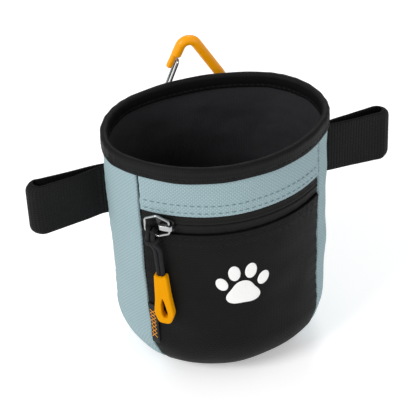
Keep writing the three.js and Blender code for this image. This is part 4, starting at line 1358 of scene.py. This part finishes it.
LOOP_SEWN_HALF = 13.5
LOOP_SEWN_AT = 7                       # which point of a loop's path its stitches cross
loop_rows = []
for side, tip in LOOPS.values():
    path = loop_path(side, tip)
    for (x, y, _), sign in ((path[LOOP_SEWN_AT], -1), (path[-1 - LOOP_SEWN_AT], 1)):
        heights = np.linspace(LOOP_HEIGHT - LOOP_SEWN_HALF, LOOP_HEIGHT + LOOP_SEWN_HALF, 13)
        points = np.array([(x, y + sign * 0.72, z) for z in heights])
        loop_rows.append((points, np.tile([0, float(sign), 0], (13, 1))))
stitches("loop_sewing", loop_rows, BLACK_THREAD, 1.7, 0.5)

# Embroidery on the label: a plain chain of diamonds.
turns = np.arange(LABEL_LOW + 3.0, LABEL_HIGH - 2.4, 2.6)
swing = np.where(np.arange(len(turns)) % 2, 1.6, -1.6) / FRONT_RADIUS
fine = np.arange(turns[0], turns[-1], 0.5)
chain = []
for sign in (-1, 1):
    facing = 0.52 * LABEL_WIDTH - front_seam(fine) + sign * np.interp(fine, turns, swing)
    chain.append((cloth(facing, fine, 1.12), off_wall(facing)))
stitches("label_sewing", chain, ORANGE_THREAD, 1.0, 0.5)

# ---- room, light and camera ---------------------------------------------------------------


def floor():
    """A plain white sheet under the pouch."""
    mesh = bpy.data.meshes.new("floor")
    mesh.from_pydata([(-3, -3, 0), (3, -3, 0), (3, 3, 0), (-3, 3, 0)], [], [(0, 1, 2, 3)])
    made, nodes, shader, place, _ = new_material("floor_paper", 0.75)
    mottled = nodes.mix(nodes.noise(place, 6.0), shade(250, 250, 250), shade(247, 247, 248))
    nodes.put(shader.inputs["Base Color"], mottled)
    shader.inputs["Emission Color"].default_value = (1, 1, 1, 1)
    shader.inputs["Emission Strength"].default_value = 0.3
    mesh.materials.append(made)
    ground = bpy.data.objects.new("floor", mesh)
    bpy.context.scene.collection.objects.link(ground)


def area_light(name, place, target_height, size, power):
    """A round lamp that points at the pouch."""
    light = bpy.data.lights.new(name, "AREA")
    light.shape = "DISK"
    light.size = size
    light.energy = power
    lamp = bpy.data.objects.new(name, light)
    bpy.context.scene.collection.objects.link(lamp)
    lamp.location = place
    ahead = Vector((0, 0, target_height)) - Vector(place)
    lamp.rotation_euler = ahead.to_track_quat("-Z", "Y").to_euler()


def world_light(strength):
    """Even white light from all round."""
    world = bpy.data.worlds.new("studio")
    world.use_nodes = True
    world.node_tree.nodes["Background"].inputs["Color"].default_value = (1, 1, 1, 1)
    world.node_tree.nodes["Background"].inputs["Strength"].default_value = strength
    bpy.context.scene.world = world


floor()
world_light(0.55)
area_light("key", (-0.95, -0.45, 0.85), 0.08, 0.5, 8.8)
area_light("rim_light", (0.35, 0.75, 0.9), 0.1, 0.4, 3)
area_light("front_fill", (0.8, -0.8, 0.5), 0.08, 0.6, 1.7)

CAMERA_AZIMUTH = math.radians(-14.06)
CAMERA_ELEVATION = math.radians(37.83)
CAMERA_ROLL = math.radians(-2.19)
CAMERA_DISTANCE = 0.9
CAMERA_LENS = 144.1
CAMERA_SENSOR = 36
CAMERA_TARGET = Vector((-0.00557, 0.00139, 0.08432))


def camera():
    """The camera, turned round the line it looks along."""
    back = Vector((math.sin(CAMERA_AZIMUTH) * math.cos(CAMERA_ELEVATION),
                   -math.cos(CAMERA_AZIMUTH) * math.cos(CAMERA_ELEVATION),
                   math.sin(CAMERA_ELEVATION)))
    right = (-back).cross(Vector((0, 0, 1))).normalized()
    up = right.cross(-back)
    across = right * math.cos(CAMERA_ROLL) + up * math.sin(CAMERA_ROLL)
    upward = up * math.cos(CAMERA_ROLL) - right * math.sin(CAMERA_ROLL)
    lens = bpy.data.cameras.new("camera")
    lens.lens = CAMERA_LENS
    lens.sensor_width = CAMERA_SENSOR
    eye = bpy.data.objects.new("camera", lens)
    bpy.context.scene.collection.objects.link(eye)
    turn = Matrix((across, upward, back)).transposed()
    eye.matrix_world = Matrix.Translation(CAMERA_TARGET + back * CAMERA_DISTANCE) @ turn.to_4x4()
    bpy.context.scene.camera = eye


camera()
bpy.context.scene.view_settings.view_transform = "Standard"
